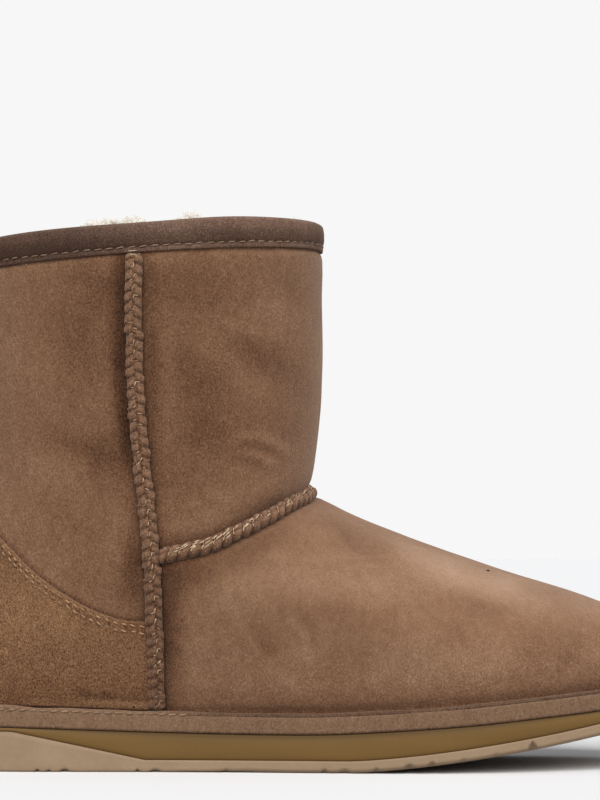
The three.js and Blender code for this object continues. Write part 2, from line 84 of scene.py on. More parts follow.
class Slot(Enum):
    """Material slots of the record."""

    SUEDE = "suede"
    COUNTER = "counter_suede"
    WELT = "welt_suede"
    SEAM = "seam_suede"
    BINDING = "binding"
    MIDSOLE = "midsole_foam"
    OUTSOLE = "outsole_rubber"
    FLEECE = "fleece"
    THREAD = "thread"


class Side(Enum):
    """Side of the foot, as the sign of y."""

    OUTER = -1
    INNER = 1


# shape


def mix(low: Array | float, high: Array | float, share: Array | float) -> Array:
    """Returns the value at a share of the way from low to high."""
    return low + (high - low) * share


def unit(vectors: Array) -> Array:
    """Returns the rows of an array at length one."""
    return vectors / np.maximum(np.linalg.norm(vectors, axis=-1, keepdims=True), 1e-12)


def scaled(vectors: Array, lengths: Array | float) -> Array:
    """Returns each row of an array times its own number."""
    return vectors * np.asarray(lengths, float).reshape(-1, 1)


def bell(distance: Array, width: float) -> Array:
    """Returns a soft bump of height one that fades over a width."""
    return np.exp(-((distance / width) ** 2))


def held(value: Array | float) -> Array:
    """Returns a value held within 0 and 1."""
    return np.clip(value, 0.0, 1.0)


def between(at: Array, keys: Array, rows: Array) -> Array:
    """Returns rows of points read between their keys."""
    return np.stack([np.interp(at, keys, column) for column in rows.T], axis=1)


class Rows:
    """A table of values read with a smooth curve through its rows."""

    def __init__(self, *rows: tuple[float, float]) -> None:
        """Keeps the rows.

        Args:
            rows: Pairs of a place and its value, in the order of their places.
        """
        self.keys = np.array([row[0] for row in rows], float)
        self.values = np.array([row[1] for row in rows], float)

    def at(self, place: Array | float) -> Array:
        """Reads the curve.

        Args:
            place: Places, held within the table's ends.

        Returns:
            The values there.
        """
        keys, values = self.keys, self.values
        at = np.clip(place, keys[0], keys[-1])
        row = np.searchsorted(keys[1:-1], at, side="left")
        low, high = np.maximum(row - 1, 0), np.minimum(row + 2, len(keys) - 1)
        before = (values[row + 1] - values[low]) / (keys[row + 1] - keys[low])
        after = (values[high] - values[row]) / (keys[high] - keys[row])
        span = keys[row + 1] - keys[row]
        t = (at - keys[row]) / span
        t2, t3 = t * t, t * t * t
        return (
            (2 * t3 - 3 * t2 + 1) * values[row]
            + (t3 - 2 * t2 + t) * span * before
            + (3 * t2 - 2 * t3) * values[row + 1]
            + (t3 - t2) * span * after
        )


@dataclass
class BootShape:
    """The boot's surfaces, with the sizes that its solids have.

    A place on the skin is a lap and a level. The lap runs once round: heel 0, outer side seam 1, toe 2, inner side
    seam 3. Level 0 to 1 lies behind the welt, 1 to 2 is the foot and 2 to 3 the shaft.
    """

    length: float = 275.0
    ball_width: float = 104.0
    toe_swing: float = 4.0
    outsole: float = 4.2
    midsole: float = 8.8
    midsole_edge: float = 1.0
    toe_spring: float = 20.0
    spring_start: float = 154.0
    spring_power: float = 1.4
    deck_rise: float = 12.0
    heel_lift: float = 2.3
    waist_lift: float = 0.3
    heel_bevel: float = 1.4
    wedge_reach: float = 84.0
    wedge_slope: float = 0.21
    welt_height: float = 7.4
    welt_thickness: float = 3.0
    insole: float = 6.0
    wall: float = 2.8
    throat_reach: float = 140.5
    throat_height: float = 97.2
    ankle_reach: float = 86.3
    ankle_height: float = 73.6
    ankle_width: float = 90.0
    ankle_back: float = 6.5
    ankle_back_height: float = 66.0
    vamp_lean: float = 62.5
    vamp_pull: float = 0.5
    toe_lift: float = 0.205
    wall_pull: float = 0.35
    toe_bulge: float = 2.5
    side_bulge: float = 4.5
    foot_seam_reach: float = 88.2
    collar_reach: float = 80.0
    collar_depth: float = 131.4
    collar_width: float = 102.0
    collar_height: float = 186.5
    collar_tilt: float = 4.2
    shin_bulge: float = 2.6
    seam_sway: float = 2.0
    achilles_hollow: float = 3.0
    binding_depth: float = 8.5
    binding_thickness: float = 1.3
    binding_sink: float = 1.4
    binding_step: float = 1.7
    counter_thickness: float = 1.2
    counter_front_height: float = 51.5
    counter_back_height: float = 96.0
    seam_groove: float = 1.2
    throat_groove: float = 0.36
    seam_groove_ramp: float = 0.16
    seam_groove_reach: float = 5.5
    clearance: float = 0.3
    overlay_clearance: float = 0.45
    steps: int = 400
    curve_steps: int = 60
    level_step: float = 0.012

    def __post_init__(self) -> None:
        """Reads the tables, measures the outline and finds where the solids stand."""
        along = (0, 0.12, 0.25, 0.4, 0.55, 0.68, 0.8, 0.9, 1)
        outer = (1.35, 1.05, 0.83, 0.79, 0.885, 1.06, 1.2, 1.28, 1.42)
        inner = (1.35, 1.035, 0.79, 0.73, 0.8, 0.98, 1.15, 1.28, 1.42)
        swing = (0, 0, 0, 0, 0.1, 0.3, 0.6, 0.85, 1)
        self.fullness = {-1: Rows(*zip(along, outer)), 1: Rows(*zip(along, inner))}
        self.swing = Rows(*zip(along, swing))
        self.lift = Rows((0, 1), (0.13, 0.95), (0.3, 0.35), (0.45, 0.03), (0.55, 0), (0.7, 0), (1, 0))
        self.rise = Rows(
            (0, 0), (0.3, 0), (0.45, 0), (0.55, 0.03), (0.7, 0.26), (0.786, 0.46), (0.873, 0.67), (1, 1)
        )
        self.bevel = Rows((0, 1), (0.03, 0.35), (0.07, 0), (0.31, 0), (1, 0))
        self.waist = Rows((0, 0), (0.07, 0), (0.31, 0), (0.36, 1), (0.42, 1), (0.47, 0), (1, 0))
        self.throat = Rows((0, 0), (0.22, 0.17), (0.42, 0.45), (0.69, 0.8), (1, 1))
        self.counter = Rows((0, 0), (0.1, 0.03), (0.19, 0.12), (0.31, 0.33), (0.46, 0.64), (0.65, 0.9), (1, 1))
        turns = np.linspace(0, math.pi, self.steps + 1)
        self.turns, self.lengths, self.seams = turns, {}, {}
        for side in (-1, 1):
            points = self.outline_base(np.full(turns.shape, side), turns)
            run = np.linalg.norm(np.diff(points, axis=0), axis=1)
            self.lengths[side] = np.concatenate([[0], np.cumsum(run)])
            self.seams[side] = self.lengths[side][points[:, 0] < self.foot_seam_reach][-1]
        sole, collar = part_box("outsole"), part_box("collar_binding")
        self.shift = np.array([sole[0].x, (collar[0].y + collar[1].y) / 2, sole[0].z]) / MM

    def world(self, points: Array) -> Array:
        """Returns points of the boot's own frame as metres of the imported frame."""
        return (points + self.shift) * MM

    def outline_base(self, side: Array, turn: Array) -> Array:
        """Returns the sole's outline at a half turn from the heel, 0, to the toe, pi."""
        along = (1 - np.cos(turn)) / 2
        full = np.where(side < 0, self.fullness[-1].at(along), self.fullness[1].at(along))
        middle = self.toe_swing * self.swing.at(along)
        across = middle + side * np.sin(turn) * full * self.ball_width / 2
        return np.stack([self.length * along, across], axis=-1)

    @staticmethod
    def side_of(lap: Array) -> Pair:
        """Splits laps.

        Args:
            lap: Laps, of any whole turn.

        Returns:
            The side as -1 outside and 1 inside, and the march from the heel, 0, to the toe, 2.
        """
        whole = np.mod(lap, 4)
        return np.where(whole <= 2, -1, 1), np.where(whole <= 2, whole, 4 - whole)

    def outline_at(self, lap: Array, inset: Array | float) -> Pair:
        """Finds the sole's outline.

        Args:
            lap: Laps.
            inset: How far the line is drawn in.

        Returns:
            The points in plan and the outward directions.
        """
        side, march = self.side_of(lap)
        turn = np.empty(march.shape)
        for sign in (-1, 1):
            lengths, seam = self.lengths[sign], self.seams[sign]
            wanted = np.where(march <= 1, march * seam, mix(seam, lengths[-1], march - 1))
            turn = np.where(side == sign, np.interp(wanted, lengths, self.turns), turn)
        step = 0.01
        ahead = self.outline_base(side, np.minimum(math.pi, turn + step))
        behind = self.outline_base(side, np.maximum(0, turn - step))
        heel, toe = turn < step, turn > math.pi - step
        heel_y = 2 * self.outline_base(side, turn * 0)[:, 1] - ahead[:, 1]
        toe_y = 2 * self.outline_base(side, turn * 0 + math.pi)[:, 1] - behind[:, 1]
        behind[heel] = np.stack([ahead[:, 0], heel_y], axis=-1)[heel]
        ahead[toe] = np.stack([behind[:, 0], toe_y], axis=-1)[toe]
        run = unit(ahead - behind)
        outward = np.stack([run[:, 1] * -side, run[:, 0] * side], axis=-1)
        return self.outline_base(side, turn) - scaled(outward, np.broadcast_to(inset, side.shape)), outward

    def deck(self, x: Array) -> Array:
        """Returns the height of the midsole's top."""
        along = x / self.length
        rise = self.heel_lift * self.lift.at(along) + self.deck_rise * self.rise.at(along)
        return self.outsole + self.midsole + rise

    def over_welt(self, points: Array) -> Array:
        """Returns the heights of points above the welt's top."""
        return points[:, 2] - self.deck(points[:, 0]) - self.welt_height

    def ground(self, x: Array) -> Array:
        """Returns the height of the sole's underside."""
        along = x / self.length
        spring = held((x - self.spring_start) / (self.length - self.spring_start))
        bevel = self.heel_bevel * held(self.bevel.at(along))
        waist = self.waist_lift * held(self.waist.at(along))
        return bevel + waist + self.toe_spring * spring**self.spring_power

    def band(self, x: Array) -> Array:
        """Returns the height where outsole and midsole meet: a wedge at the heel, then a level band."""
        wedge = self.wedge_slope * np.maximum(0, self.wedge_reach - x)
        waist = self.waist_lift * held(self.waist.at(x / self.length))
        top = self.deck(x) - self.midsole_edge - self.clearance
        return np.minimum(top, self.ground(x) - waist + self.outsole + wedge)

    def oval(self, lap: Array, reach: float, back: float, front: float, half: float) -> Pair:
        """Finds an oval ring round the leg.

        Args:
            lap: Laps.
            reach: Where the ring is widest.
            back: Its end at the heel.
            front: Its end at the shin.
            half: Half its width.

        Returns:
            The points in plan and the level outward directions.
        """
        side, march = self.side_of(lap)
        angle = march * math.pi / 2
        depth = np.where(march <= 1, reach - back, front - reach)
        plan = np.stack([reach - depth * np.cos(angle), side * half * np.sin(angle)], axis=-1)
        level = np.zeros(march.shape)
        return plan, unit(np.stack([-np.cos(angle) / depth, side * np.sin(angle) / half, level], axis=-1))

    def collar(self, lap: Array) -> Pair:
        """Returns the points of the rim and their outward directions."""
        half = self.collar_depth / 2
        reach = self.collar_reach
        plan, outward = self.oval(lap, reach, reach - half, reach + half, self.collar_width / 2)
        height = self.collar_height + (plan[:, 0] - reach) * math.tan(math.radians(self.collar_tilt))
        return np.column_stack([plan, height]), outward

    def ankle(self, lap: Array) -> Pair:
        """Returns the points where foot and shaft meet and their outward directions."""
        plan, outward = self.oval(lap, self.ankle_reach, self.ankle_back, self.throat_reach, self.ankle_width / 2)
        march = self.side_of(lap)[1]
        back = mix(self.ankle_back_height, self.ankle_height, march**1.5)
        front = mix(self.ankle_height, self.throat_height, self.throat.at(march - 1))
        return np.column_stack([plan, np.where(march <= 1, back, front)]), outward

    def front_share(self, lap: Array) -> Array:
        """Returns 0 at the side seams and 1 at the toe."""
        march = self.side_of(lap)[1]
        return np.where(march <= 1, 0, np.sin((march - 1) * math.pi / 2))

    def shaft_point(self, lap: Array, share: Array) -> Array:
        """Returns points of the shaft at a share of its height above the vamp seam."""
        march = self.side_of(lap)[1]
        rear = np.where(march >= 1, 0, np.cos(march * math.pi / 2))
        low = self.ankle(lap)[0]
        high, outward = self.collar(lap)
        bulge = self.shin_bulge * self.front_share(lap) ** 2 - self.achilles_hollow * rear**2
        swell = bulge * 27 / 4 * share * (1 - share) ** 2
        point = low + scaled(high - low, share) + scaled(outward, swell)
        sway = np.sin(march * math.pi / 2) ** 4
        point[:, 0] -= self.seam_sway * 16 * (share * (1 - share)) ** 2 * sway
        return point

    def foot_curves(self, lap: Array) -> Array:
        """Returns the four control points of each column of the foot, from the welt's top to the vamp seam."""
        plan, outward = self.outline_at(lap, self.welt_thickness + self.clearance)
        front = self.front_share(lap)
        top = self.deck(plan[:, 0]) + self.welt_height + self.clearance
        start = np.column_stack([plan, top])
        end, ring_out = self.ankle(lap)
        chord = np.linalg.norm(end - start, axis=1)
        bulge = mix(self.side_bulge, self.toe_bulge, front)
        rise = chord * mix(self.wall_pull, self.toe_lift, front)
        first = start + np.column_stack([scaled(outward, bulge), rise])
        down = unit(end - self.shaft_point(lap, np.full(lap.shape, 0.04)))
        away = start - end
        away[:, 2] = 0
        near = np.linalg.norm(away, axis=1) <= 1
        plan_out = np.where(near[:, None], ring_out, unit(unit(away) + ring_out))
        lean = math.radians(self.vamp_lean) * front**1.2
        leave = scaled(down, np.cos(lean)) + scaled(plan_out, np.sin(lean))
        second = end + scaled(leave, chord * mix(self.wall_pull, self.vamp_pull, front))
        return np.stack([start, first, second, end], axis=1)

    def skin(self, lap: Array, level: Array) -> Array:
        """Returns points of the outer surface."""
        lap, level = np.broadcast_arrays(np.asarray(lap, float), np.asarray(level, float))
        laps, back = np.unique(lap, return_inverse=True)
        curves = self.foot_curves(laps)
        t = np.linspace(0, 1, self.curve_steps + 1)
        weights = np.stack([(1 - t) ** 3, 3 * (1 - t) ** 2 * t, 3 * (1 - t) * t**2, t**3], axis=1)
        table = np.einsum("tk,lkc->ltc", weights, curves)
        run = np.linalg.norm(np.diff(table, axis=1), axis=2)
        lengths = np.concatenate([np.zeros((len(laps), 1)), np.cumsum(run, axis=1)], axis=1)
        self.foot_lengths = lengths[:, -1][back]
        wanted = held(level - 1) * self.foot_lengths
        rows = lengths[back]
        index = np.clip((rows < wanted[:, None]).sum(axis=1) - 1, 0, self.curve_steps - 1)
        at = np.arange(len(lap))
        span = rows[at, index + 1] - rows[at, index]
        share = (index + (wanted - rows[at, index]) / np.maximum(span, 1e-9)) / self.curve_steps
        rest = 1 - share
        ours = curves[back]
        foot = scaled(ours[:, 0], rest**3) + scaled(ours[:, 1], 3 * rest**2 * share)
        foot += scaled(ours[:, 2], 3 * rest * share**2) + scaled(ours[:, 3], share**3)
        low = ours[:, 0].copy()
        low[:, 2] = mix(self.deck(low[:, 0]) + self.clearance, low[:, 2], held(level))
        shaft = self.shaft_point(lap, np.maximum(level - 2, 0))
        return np.where((level <= 1)[:, None], low, np.where((level <= 2)[:, None], foot, shaft))

    def normal(self, lap: Array, level: Array) -> Array:
        """Returns outward directions of the outer surface."""
        step = self.level_step
        lap, level = np.broadcast_arrays(np.asarray(lap, float), np.asarray(level, float))
        around = self.skin(lap + step, level) - self.skin(lap - step, level)
        up = self.skin(lap, np.minimum(3, level + step)) - self.skin(lap, np.maximum(0, level - step))
        return unit(np.cross(around, up))

    def sink(self, lap: Array, level: Array) -> Array:
        """Returns how deep the skin is drawn in along the vamp seam and under the binding."""
        march = self.side_of(lap)[1]
        point = self.skin(lap, level)
        ramp = held((march - 1) / self.seam_groove_ramp)
        depth = mix(self.seam_groove, self.throat_groove, held(march * 2 - 3))
        apart = np.linalg.norm(point - self.ankle(lap)[0], axis=1) / self.seam_groove_reach
        seam = depth * ramp * np.maximum(0, 1 - apart**2) ** 2
        below = np.linalg.norm(point - self.collar(lap)[0], axis=1)
        rim = self.binding_sink * held((self.binding_depth + self.binding_step - below) / self.binding_step)
        return seam + rim

    def shaft_length(self, lap: Array) -> Array:
        """Returns the length of the shaft from the vamp seam to the rim."""
        return np.linalg.norm(self.collar(lap)[0] - self.ankle(lap)[0], axis=1)

    def under_rim(self, lap: Array, length: float) -> Array:
        """Returns the levels at a length below the rim."""
        return 3 - length / self.shaft_length(lap)

    def level_at(self, lap: Array, height: Array) -> Array:
        """Returns the levels of columns at a height, found by halving."""
        low, high = np.full(lap.shape, 1.0), np.full(lap.shape, 3.0)
        for _ in range(16):
            middle = (low + high) / 2
            below = self.skin(lap, middle)[:, 2] < height
            low, high = np.where(below, middle, low), np.where(below, high, middle)
        return low

    def counter_height(self, lap: Array) -> Array:
        """Returns the height of the heel counter's top edge, for laps from -1 to 1."""
        rise = self.counter.at(1 - np.abs(lap))
        return mix(self.counter_front_height, self.counter_back_height, rise)


# soft forms of the skin


@dataclass(frozen=True)
class Crease:
    """A soft trough, or a ridge where its depth is negative, along a line on one side of the boot."""

    line: tuple[tuple[float, float], ...]
    width: float
    depth: float
    side: Side = Side.OUTER


@dataclass(frozen=True)
class Patch:
    """A place where the suede is painted lighter or darker, by its nap or as painted shade in a trough, with its
    middle, reach, turn and strength.
    """

    x: float
    z: float
    reach_x: float
    reach_z: float
    tone: float
    turn: float = 0.0
    side: Side = Side.OUTER


# Creases listed one by one: the fan of fine ripples above the throat, slack of the shaft, and where the vamp was
# pulled.
CREASES = tuple(Crease(*row) for row in (
    (((113.3, 113.6), (119.1, 115.3), (126, 114.3), (134, 109.1)), 1.5, -0.8),
    (((112.2, 110.2), (121.2, 109.5), (126, 106.7), (129.5, 105.7)), 1.3, -0.7),
    (((108.8, 111.2), (114.3, 109.5), (117.7, 107.8)), 1.2, 0.65),
    (((116, 112.2), (122, 111.8), (129, 109.6)), 1.2, 0.65), (((112, 106.5), (119, 106.5), (127, 103)), 1.3, 0.5),
    (((98.4, 90.5), (102.9, 93.6), (107.4, 91.9)), 1.2, -0.6),
    (((105.3, 96.4), (112.2, 93.6), (114.3, 92.9)), 1.1, -0.55), (((101, 96), (106, 92.6), (109, 90)), 1.1, 0.55),
    (((109.8, 155), (116.7, 151.6), (129.5, 149.8)), 2.4, -0.5),
    (((113.3, 150.9), (119.1, 144.7), (122.9, 142.2)), 3.0, 0.4),
    (((87, 156), (98.4, 149.1), (114.3, 136.7), (129.5, 125)), 6.0, -0.5), (((94, 143), (101, 138)), 2.6, 0.25),
    (((100, 130), (106, 133), (109, 124)), 2.4, 0.35), (((112, 163), (123, 147), (132, 138), (138, 124)), 6.5, 0.3),
    (((92, 150), (97, 138), (100, 124)), 5.0, 0.3), (((108, 152), (118, 158), (128, 160)), 6.0, -0.5),
    (((126, 172), (134, 166), (141, 158)), 5.0, 0.5), (((46, 116), (58, 113), (72, 106)), 4.0, 0.35),
    (((40, 130), (50, 133), (62, 129)), 7.0, -0.6), (((48, 160), (56, 152), (62, 140)), 6.0, 0.5),
    (((36, 100), (48, 94), (60, 84), (72, 74)), 6.0, 0.6), (((146, 88), (153, 83.5), (162, 78)), 2.4, 0.2),
    (((148, 92), (158, 87), (168, 80)), 2.2, 0.14),
    (((132.9, 53.3), (138.4, 46.4), (139.8, 39.5), (141.5, 34)), 1.5, -0.36),
    (((138, 54), (141.6, 47.5), (142.9, 40)), 1.3, 0.36),
    (((110.8, 65), (115.7, 51.2), (123.6, 39.5), (130.5, 32.6), (137.4, 28.1)), 1.4, -0.22),
    (((120, 52), (124, 44), (129.5, 38)), 2.6, 0.5), (((119, 74), (146.7, 72.9), (158.1, 74)), 1.6, -0.3),
    (((151.2, 85.7), (153, 81), (156.4, 77.2)), 1.5, 0.28), (((196, 58), (203.9, 54.7), (210.8, 55.7)), 1.8, 0.36),
    (((224, 31), (228, 36), (231.5, 41)), 1.6, 0.5), (((229, 32), (234, 37), (240, 41)), 2.6, -0.4),
    (((146, 50), (153, 47)), 9.0, 0.8), (((110, 27), (112, 38)), 5.0, 0.5), (((136, 26), (138, 36)), 4.6, 0.55),
    (((152, 26), (153, 37)), 5.0, 0.6), (((175, 28), (176, 38)), 4.6, 0.5), (((196, 30), (199, 41)), 4.6, 0.5),
    (((214, 33), (219, 45)), 4.4, 0.55), (((230, 37), (236, 49)), 4.4, 0.45), (((190, 60), (203, 57)), 6.0, 0.5),
    (((216, 44), (228, 39), (238, 37)), 3.2, 0.4), (((110, 150), (122, 138), (134, 130)), 6.0, 0.8, Side.INNER),
    (((44, 118), (58, 112), (70, 104)), 6.0, 0.8, Side.INNER),
    (((112, 108), (122, 113), (134, 112)), 2.0, 0.4, Side.INNER),
    (((108, 103), (118, 108), (130, 108)), 2.0, 0.36, Side.INNER),
    (((140, 58), (144, 48), (150, 40)), 2.4, 0.4, Side.INNER), (((120, 26), (122, 37)), 5.0, 0.5, Side.INNER),
    (((150, 27), (152, 38)), 5.0, 0.5, Side.INNER), (((182, 30), (184, 40)), 5.0, 0.5, Side.INNER),
    (((210, 34), (213, 45)), 4.6, 0.5, Side.INNER), (((236, 41), (240, 52)), 4.6, 0.5, Side.INNER),
))

# Patches listed one by one, where the photograph shows the suede lighter or darker: most where its nap is brushed
# lighter or darker, and narrow dark ones beside the side seams and under the vamp seam that are painted shade in the
# troughs there.
PATCHES = tuple(Patch(*row) for row in (
    (44, 128, 15, 10, -0.06), (58, 134, 12, 14, -0.14), (66, 110, 17, 4.5, -0.16, -15), (42, 155, 14, 20, -0.04),
    (68, 64, 14, 9, -0.14, -20), (48, 98, 14, 9, 0.08), (75.6, 146, 3.0, 30, -0.58), (78, 116, 2.4, 13, -0.5),
    (66, 150, 9, 32, -0.14), (87, 138, 3.6, 34, -0.26), (98, 140, 9, 30, -0.16), (92, 48, 5, 22, -0.48),
    (66, 165, 9, 20, -0.14), (79.5, 70, 3.5, 12, -0.45), (70, 105, 6, 14, -0.2), (146, 32, 6, 7, -0.22),
    (129, 93, 4, 3, -0.25), (212, 66, 7, 4, 0.25), (112, 140, 26, 30, -0.06), (74, 170, 14, 6, -0.16),
    (108, 138, 12, 28, -0.2), (112, 150, 17, 8, 0.14, 20), (125, 142, 13, 7, -0.24, -32), (100, 168, 18, 8, -0.2),
    (120, 160, 10, 10, -0.05), (126, 120, 14, 9, -0.1), (107, 117, 8, 6, -0.2), (96, 100, 10, 16, -0.14),
    (125, 90, 9, 3.5, -0.25, 22), (50, 61, 18, 12, 0.14), (56, 50, 22, 9, 0.16), (78, 44, 10, 10, 0.1),
    (97, 69, 9, 9, -0.38), (126.4, 42, 3.4, 6.5, -0.2, -25), (144.3, 55, 10, 3.6, -0.14),
    (156, 78.5, 11, 4.0, -0.1, -25), (190, 49.8, 6, 3.5, -0.05), (110, 71, 13, 4.5, -0.26, 20),
    (124, 79, 10, 4, -0.24, 32), (140, 66, 42, 9, 0.2, -3), (166, 63, 26, 9, 0.06, -10),
    (159, 80, 12, 5, -0.08, -28), (182, 74, 16, 4, 0.24, -20), (198, 65, 24, 5, 0.42, -18), (118, 47, 20, 15, 0.05),
    (130, 36, 30, 12, 0.04), (142, 30, 12, 3, 0.14), (172, 36, 40, 10, 0.16), (150, 39, 10, 5, -0.06),
    (146, 49, 12, 9, 0.06), (205, 40, 22, 8, 0.12), (222, 42, 18, 7, -0.1, 22), (240, 55, 10, 5, 0.12, -12),
    (112, 150, 17, 9, 0.14, 20, Side.INNER), (128, 128, 14, 8, -0.16, -30, Side.INNER),
    (73, 140, 4, 34, -0.45, 0, Side.INNER), (50, 130, 16, 10, 0.14, 0, Side.INNER),
    (66, 104, 16, 6, -0.14, -15, Side.INNER), (150, 66, 34, 8, 0.14, -6, Side.INNER),
    (150, 44, 16, 10, 0.08, 0, Side.INNER), (205, 46, 20, 9, 0.14, 0, Side.INNER),
    (228, 38, 18, 7, -0.14, 15, Side.INNER),
))


class SoftForms:
    """What the sewn and worn suede does beyond the plain skin: it sinks at the seams, swells and folds."""

    seam_depth = 1.5
    seam_width = 3.2
    seam_swell = 0.9
    vamp_depth = 0.6
    vamp_swell = 0.7
    tuck_depth = 1.0
    tuck_swell = 0.55
    noise_size = 34.0
    noise_height = 0.4

    def __init__(self, shape: BootShape) -> None:
        """Lays the seams' lines on the skin.

        Args:
            shape: The boot's surfaces.
        """
        self.shape = shape
        levels = np.linspace(1, 3, 90)
        self.side_lines = [shape.skin(lap, levels) for lap in (1.0, 3.0)]
        laps = np.linspace(1, 3, 160)
        self.vamp_line = shape.skin(laps, 2.0)
        laps = np.linspace(-0.99, 0.99, 160)
        self.counter_line = shape.skin(laps, shape.level_at(laps, shape.counter_height(laps)))

    @staticmethod
    def apart(points: Array, line: Array) -> Array:
        """Returns how far points are from a line of points."""
        best = np.full(len(points), 1e9)
        for start, end in zip(line[:-1], line[1:]):
            run = end - start
            share = held(((points - start) @ run) / max(run @ run, 1e-9))
            gap = points - start - share[:, None] * run
            best = np.minimum(best, np.einsum("ij,ij->i", gap, gap))
        return np.sqrt(best)

    def from_seams(self, points: Array) -> Pair:
        """Returns how far points are from the nearer side seam and from the vamp seam."""
        sides = np.minimum(*(self.apart(points, line) for line in self.side_lines))
        return sides, self.apart(points, self.vamp_line)

    def creases(self, points: Array) -> Array:
        """Returns the depth of the folds listed one by one."""
        total = np.zeros(len(points))
        for crease in CREASES:
            mask = points[:, 1] * crease.side.value > 6
            line = np.array(crease.line)
            flat = points[mask][:, [0, 2]]
            gap = self.apart(flat, line)
            ends = np.minimum(
                np.linalg.norm(flat - line[0], axis=1), np.linalg.norm(flat - line[-1], axis=1)
            )
            fade = held(0.25 + ends / (3 * crease.width))
            total[mask] += crease.depth * bell(gap, crease.width) * fade
        return total

    def rise(self, lap: Array, level: Array, points: Array, seams: bool = True) -> Array:
        """Finds how far the suede stands off the plain skin.

        Args:
            lap: Laps of the points.
            level: Levels of the points.
            points: The points on the skin.
            seams: Whether the troughs beside the seams count.

        Returns:
            Outward lengths.
        """
        shape = self.shape
        total = -self.creases(points)
        total += self.noise_height * self.swell(points)
        above = shape.over_welt(points)
        deep = self.tuck_depth * held(0.15 + 3 * shape.front_share(lap))
        total += self.tuck_swell * bell(above - 8, 6) - deep * bell(above, 1.7)
        if seams:
            side, vamp = self.from_seams(points)
            total += self.seam_swell * bell(side - 10, 5) - self.seam_depth * bell(side, self.seam_width)
            front = shape.front_share(lap)
            throat = 1 - 0.75 * held((front - 0.7) / 0.3)
            seam = self.vamp_swell * throat * bell(vamp - 9, 4.5) - self.vamp_depth * bell(vamp, 3)
            total += front**0.3 * seam
        below = np.linalg.norm(points - shape.collar(lap)[0], axis=1)
        fade = held((below - shape.binding_depth - 0.5) / 7)
        return total * fade * held(level * 2 - 1)

    def swell(self, points: Array) -> Array:
        """Returns a slow wave of the leather from -1 to 1."""
        size = self.noise_size
        return np.array([noise.noise(Vector(p) / size) + 0.4 * noise.noise(Vector(p) / (size / 2.7)) for p in points])

    def tone(self, points: Array) -> Array:
        """Returns how light the suede is painted, 0 where it is plain: the nap's patches, with painted shade in the
        creases' troughs and painted highlight on their ridges.
        """
        total = np.zeros(len(points))
        for patch in PATCHES:
            turn = math.radians(patch.turn)
            x, z = points[:, 0] - patch.x, points[:, 2] - patch.z
            along = (x * math.cos(turn) + z * math.sin(turn)) / patch.reach_x
            up = (z * math.cos(turn) - x * math.sin(turn)) / patch.reach_z
            ours = held(points[:, 1] * patch.side.value / 12)
            total += patch.tone * ours * np.exp(-(along**2 + up**2))
        # painted shade in the troughs, painted highlight on the ridges
        return total - 0.24 * self.creases(points)

    def shade(self, points: Array) -> Array:
        """Returns the painted shade on the suede, from 0 to 1: beside the seams, along the heel counter's top edge and
        above the welt.
        """
        side, vamp = self.from_seams(points)
        edge = self.apart(points, self.counter_line)
        above = np.maximum(self.shape.over_welt(points), 0)
        low = 0.4 * bell(above, 1.4) + 0.16 * bell(above, 9)
        return held(0.85 * bell(side, 4.6) + 0.6 * bell(vamp, 3.8) + bell(edge, 1.1) + low)

    def nap(self, lap: Array, level: Array, points: Array) -> Array:
        """Returns how rough the nap is: plain on shaft and walls, worn smoother over the vamp."""
        above = self.shape.over_welt(points)
        top = held((above - 8) / 18) * held(2 * self.shape.front_share(lap))
        return 0.62 - 0.28 * top * held((2.02 - level) * 25)


# making meshes


def deselect() -> None:
    """Deselects every object, so that an operator acts on new pieces alone."""
    for piece in bpy.context.scene.objects:
        piece.select_set(False)


def pick(piece: Piece) -> None:
    """Makes a piece the only one selected and the active one."""
    deselect()
    piece.select_set(True)
    bpy.context.view_layer.objects.active = piece


def coordinates(mesh: bpy.types.Mesh) -> Array:
    """Returns a mesh's corners as rows of an array."""
    flat = np.empty(len(mesh.vertices) * 3, np.float32)
    mesh.vertices.foreach_get("co", flat)
    return flat.reshape(-1, 3).astype(float)


def set_coordinates(mesh: bpy.types.Mesh, points: Array) -> None:
    """Moves a mesh's corners to the rows of an array."""
    mesh.vertices.foreach_set("co", np.ascontiguousarray(points, np.float32).ravel())
    mesh.update()


def set_attribute(mesh: bpy.types.Mesh, name: str, values: Array) -> None:
    """Keeps a number for each corner, for the finishes to read."""
    layer = mesh.attributes.new(name, "FLOAT", "POINT")
    layer.data.foreach_set("value", np.ascontiguousarray(values, np.float32))


def edit(piece: Piece, *steps: Callable[[], object]) -> None:
    """Runs operators in edit mode on a whole piece.

    Args:
        piece: The piece.
        steps: What to run, in order.
    """
    pick(piece)
    bpy.ops.object.mode_set(mode="EDIT")
    bpy.ops.mesh.select_all(action="SELECT")
    for step in steps:
        step()
    bpy.ops.object.mode_set(mode="OBJECT")


def close(piece: Piece) -> None:
    """Merges equal corners and turns all faces outwards."""
    edit(
        piece,
        lambda: bpy.ops.mesh.remove_doubles(threshold=SAME_PLACE),
        lambda: bpy.ops.mesh.normals_make_consistent(inside=False),
    )


def wrapped(
    name: str, columns: int, rows: int, place: Callable[[Array, Array], Array], **extra: Callable[[Array, Array], Array]
) -> Piece:
    """Wraps a grid round a form.

    Args:
        name: Name of the piece.
        columns: Faces along the first way.
        rows: Faces along the second way.
        place: Gives the points, in metres, for shares of both ways.
        extra: Attributes by name, each a function of the same shares.

    Returns:
        The piece, closed where its edges meet.
    """
    deselect()
    bpy.ops.mesh.primitive_grid_add(x_subdivisions=columns, y_subdivisions=rows, size=1.0)
    piece = bpy.context.object
    piece.name = name
    piece.data.name = name
    flat = coordinates(piece.data)
    u, v = flat[:, 0] + 0.5, flat[:, 1] + 0.5
    set_coordinates(piece.data, place(u, v))
    for key, values in extra.items():
        set_attribute(piece.data, key, values(u, v))
    close(piece)
    bpy.ops.object.shade_smooth()
    return piece


@dataclass
class Spots:
    """Places where copies go, each with its own three directions."""

    points: Array
    along: Array
    outward: Array
    sizes: Array | None = None


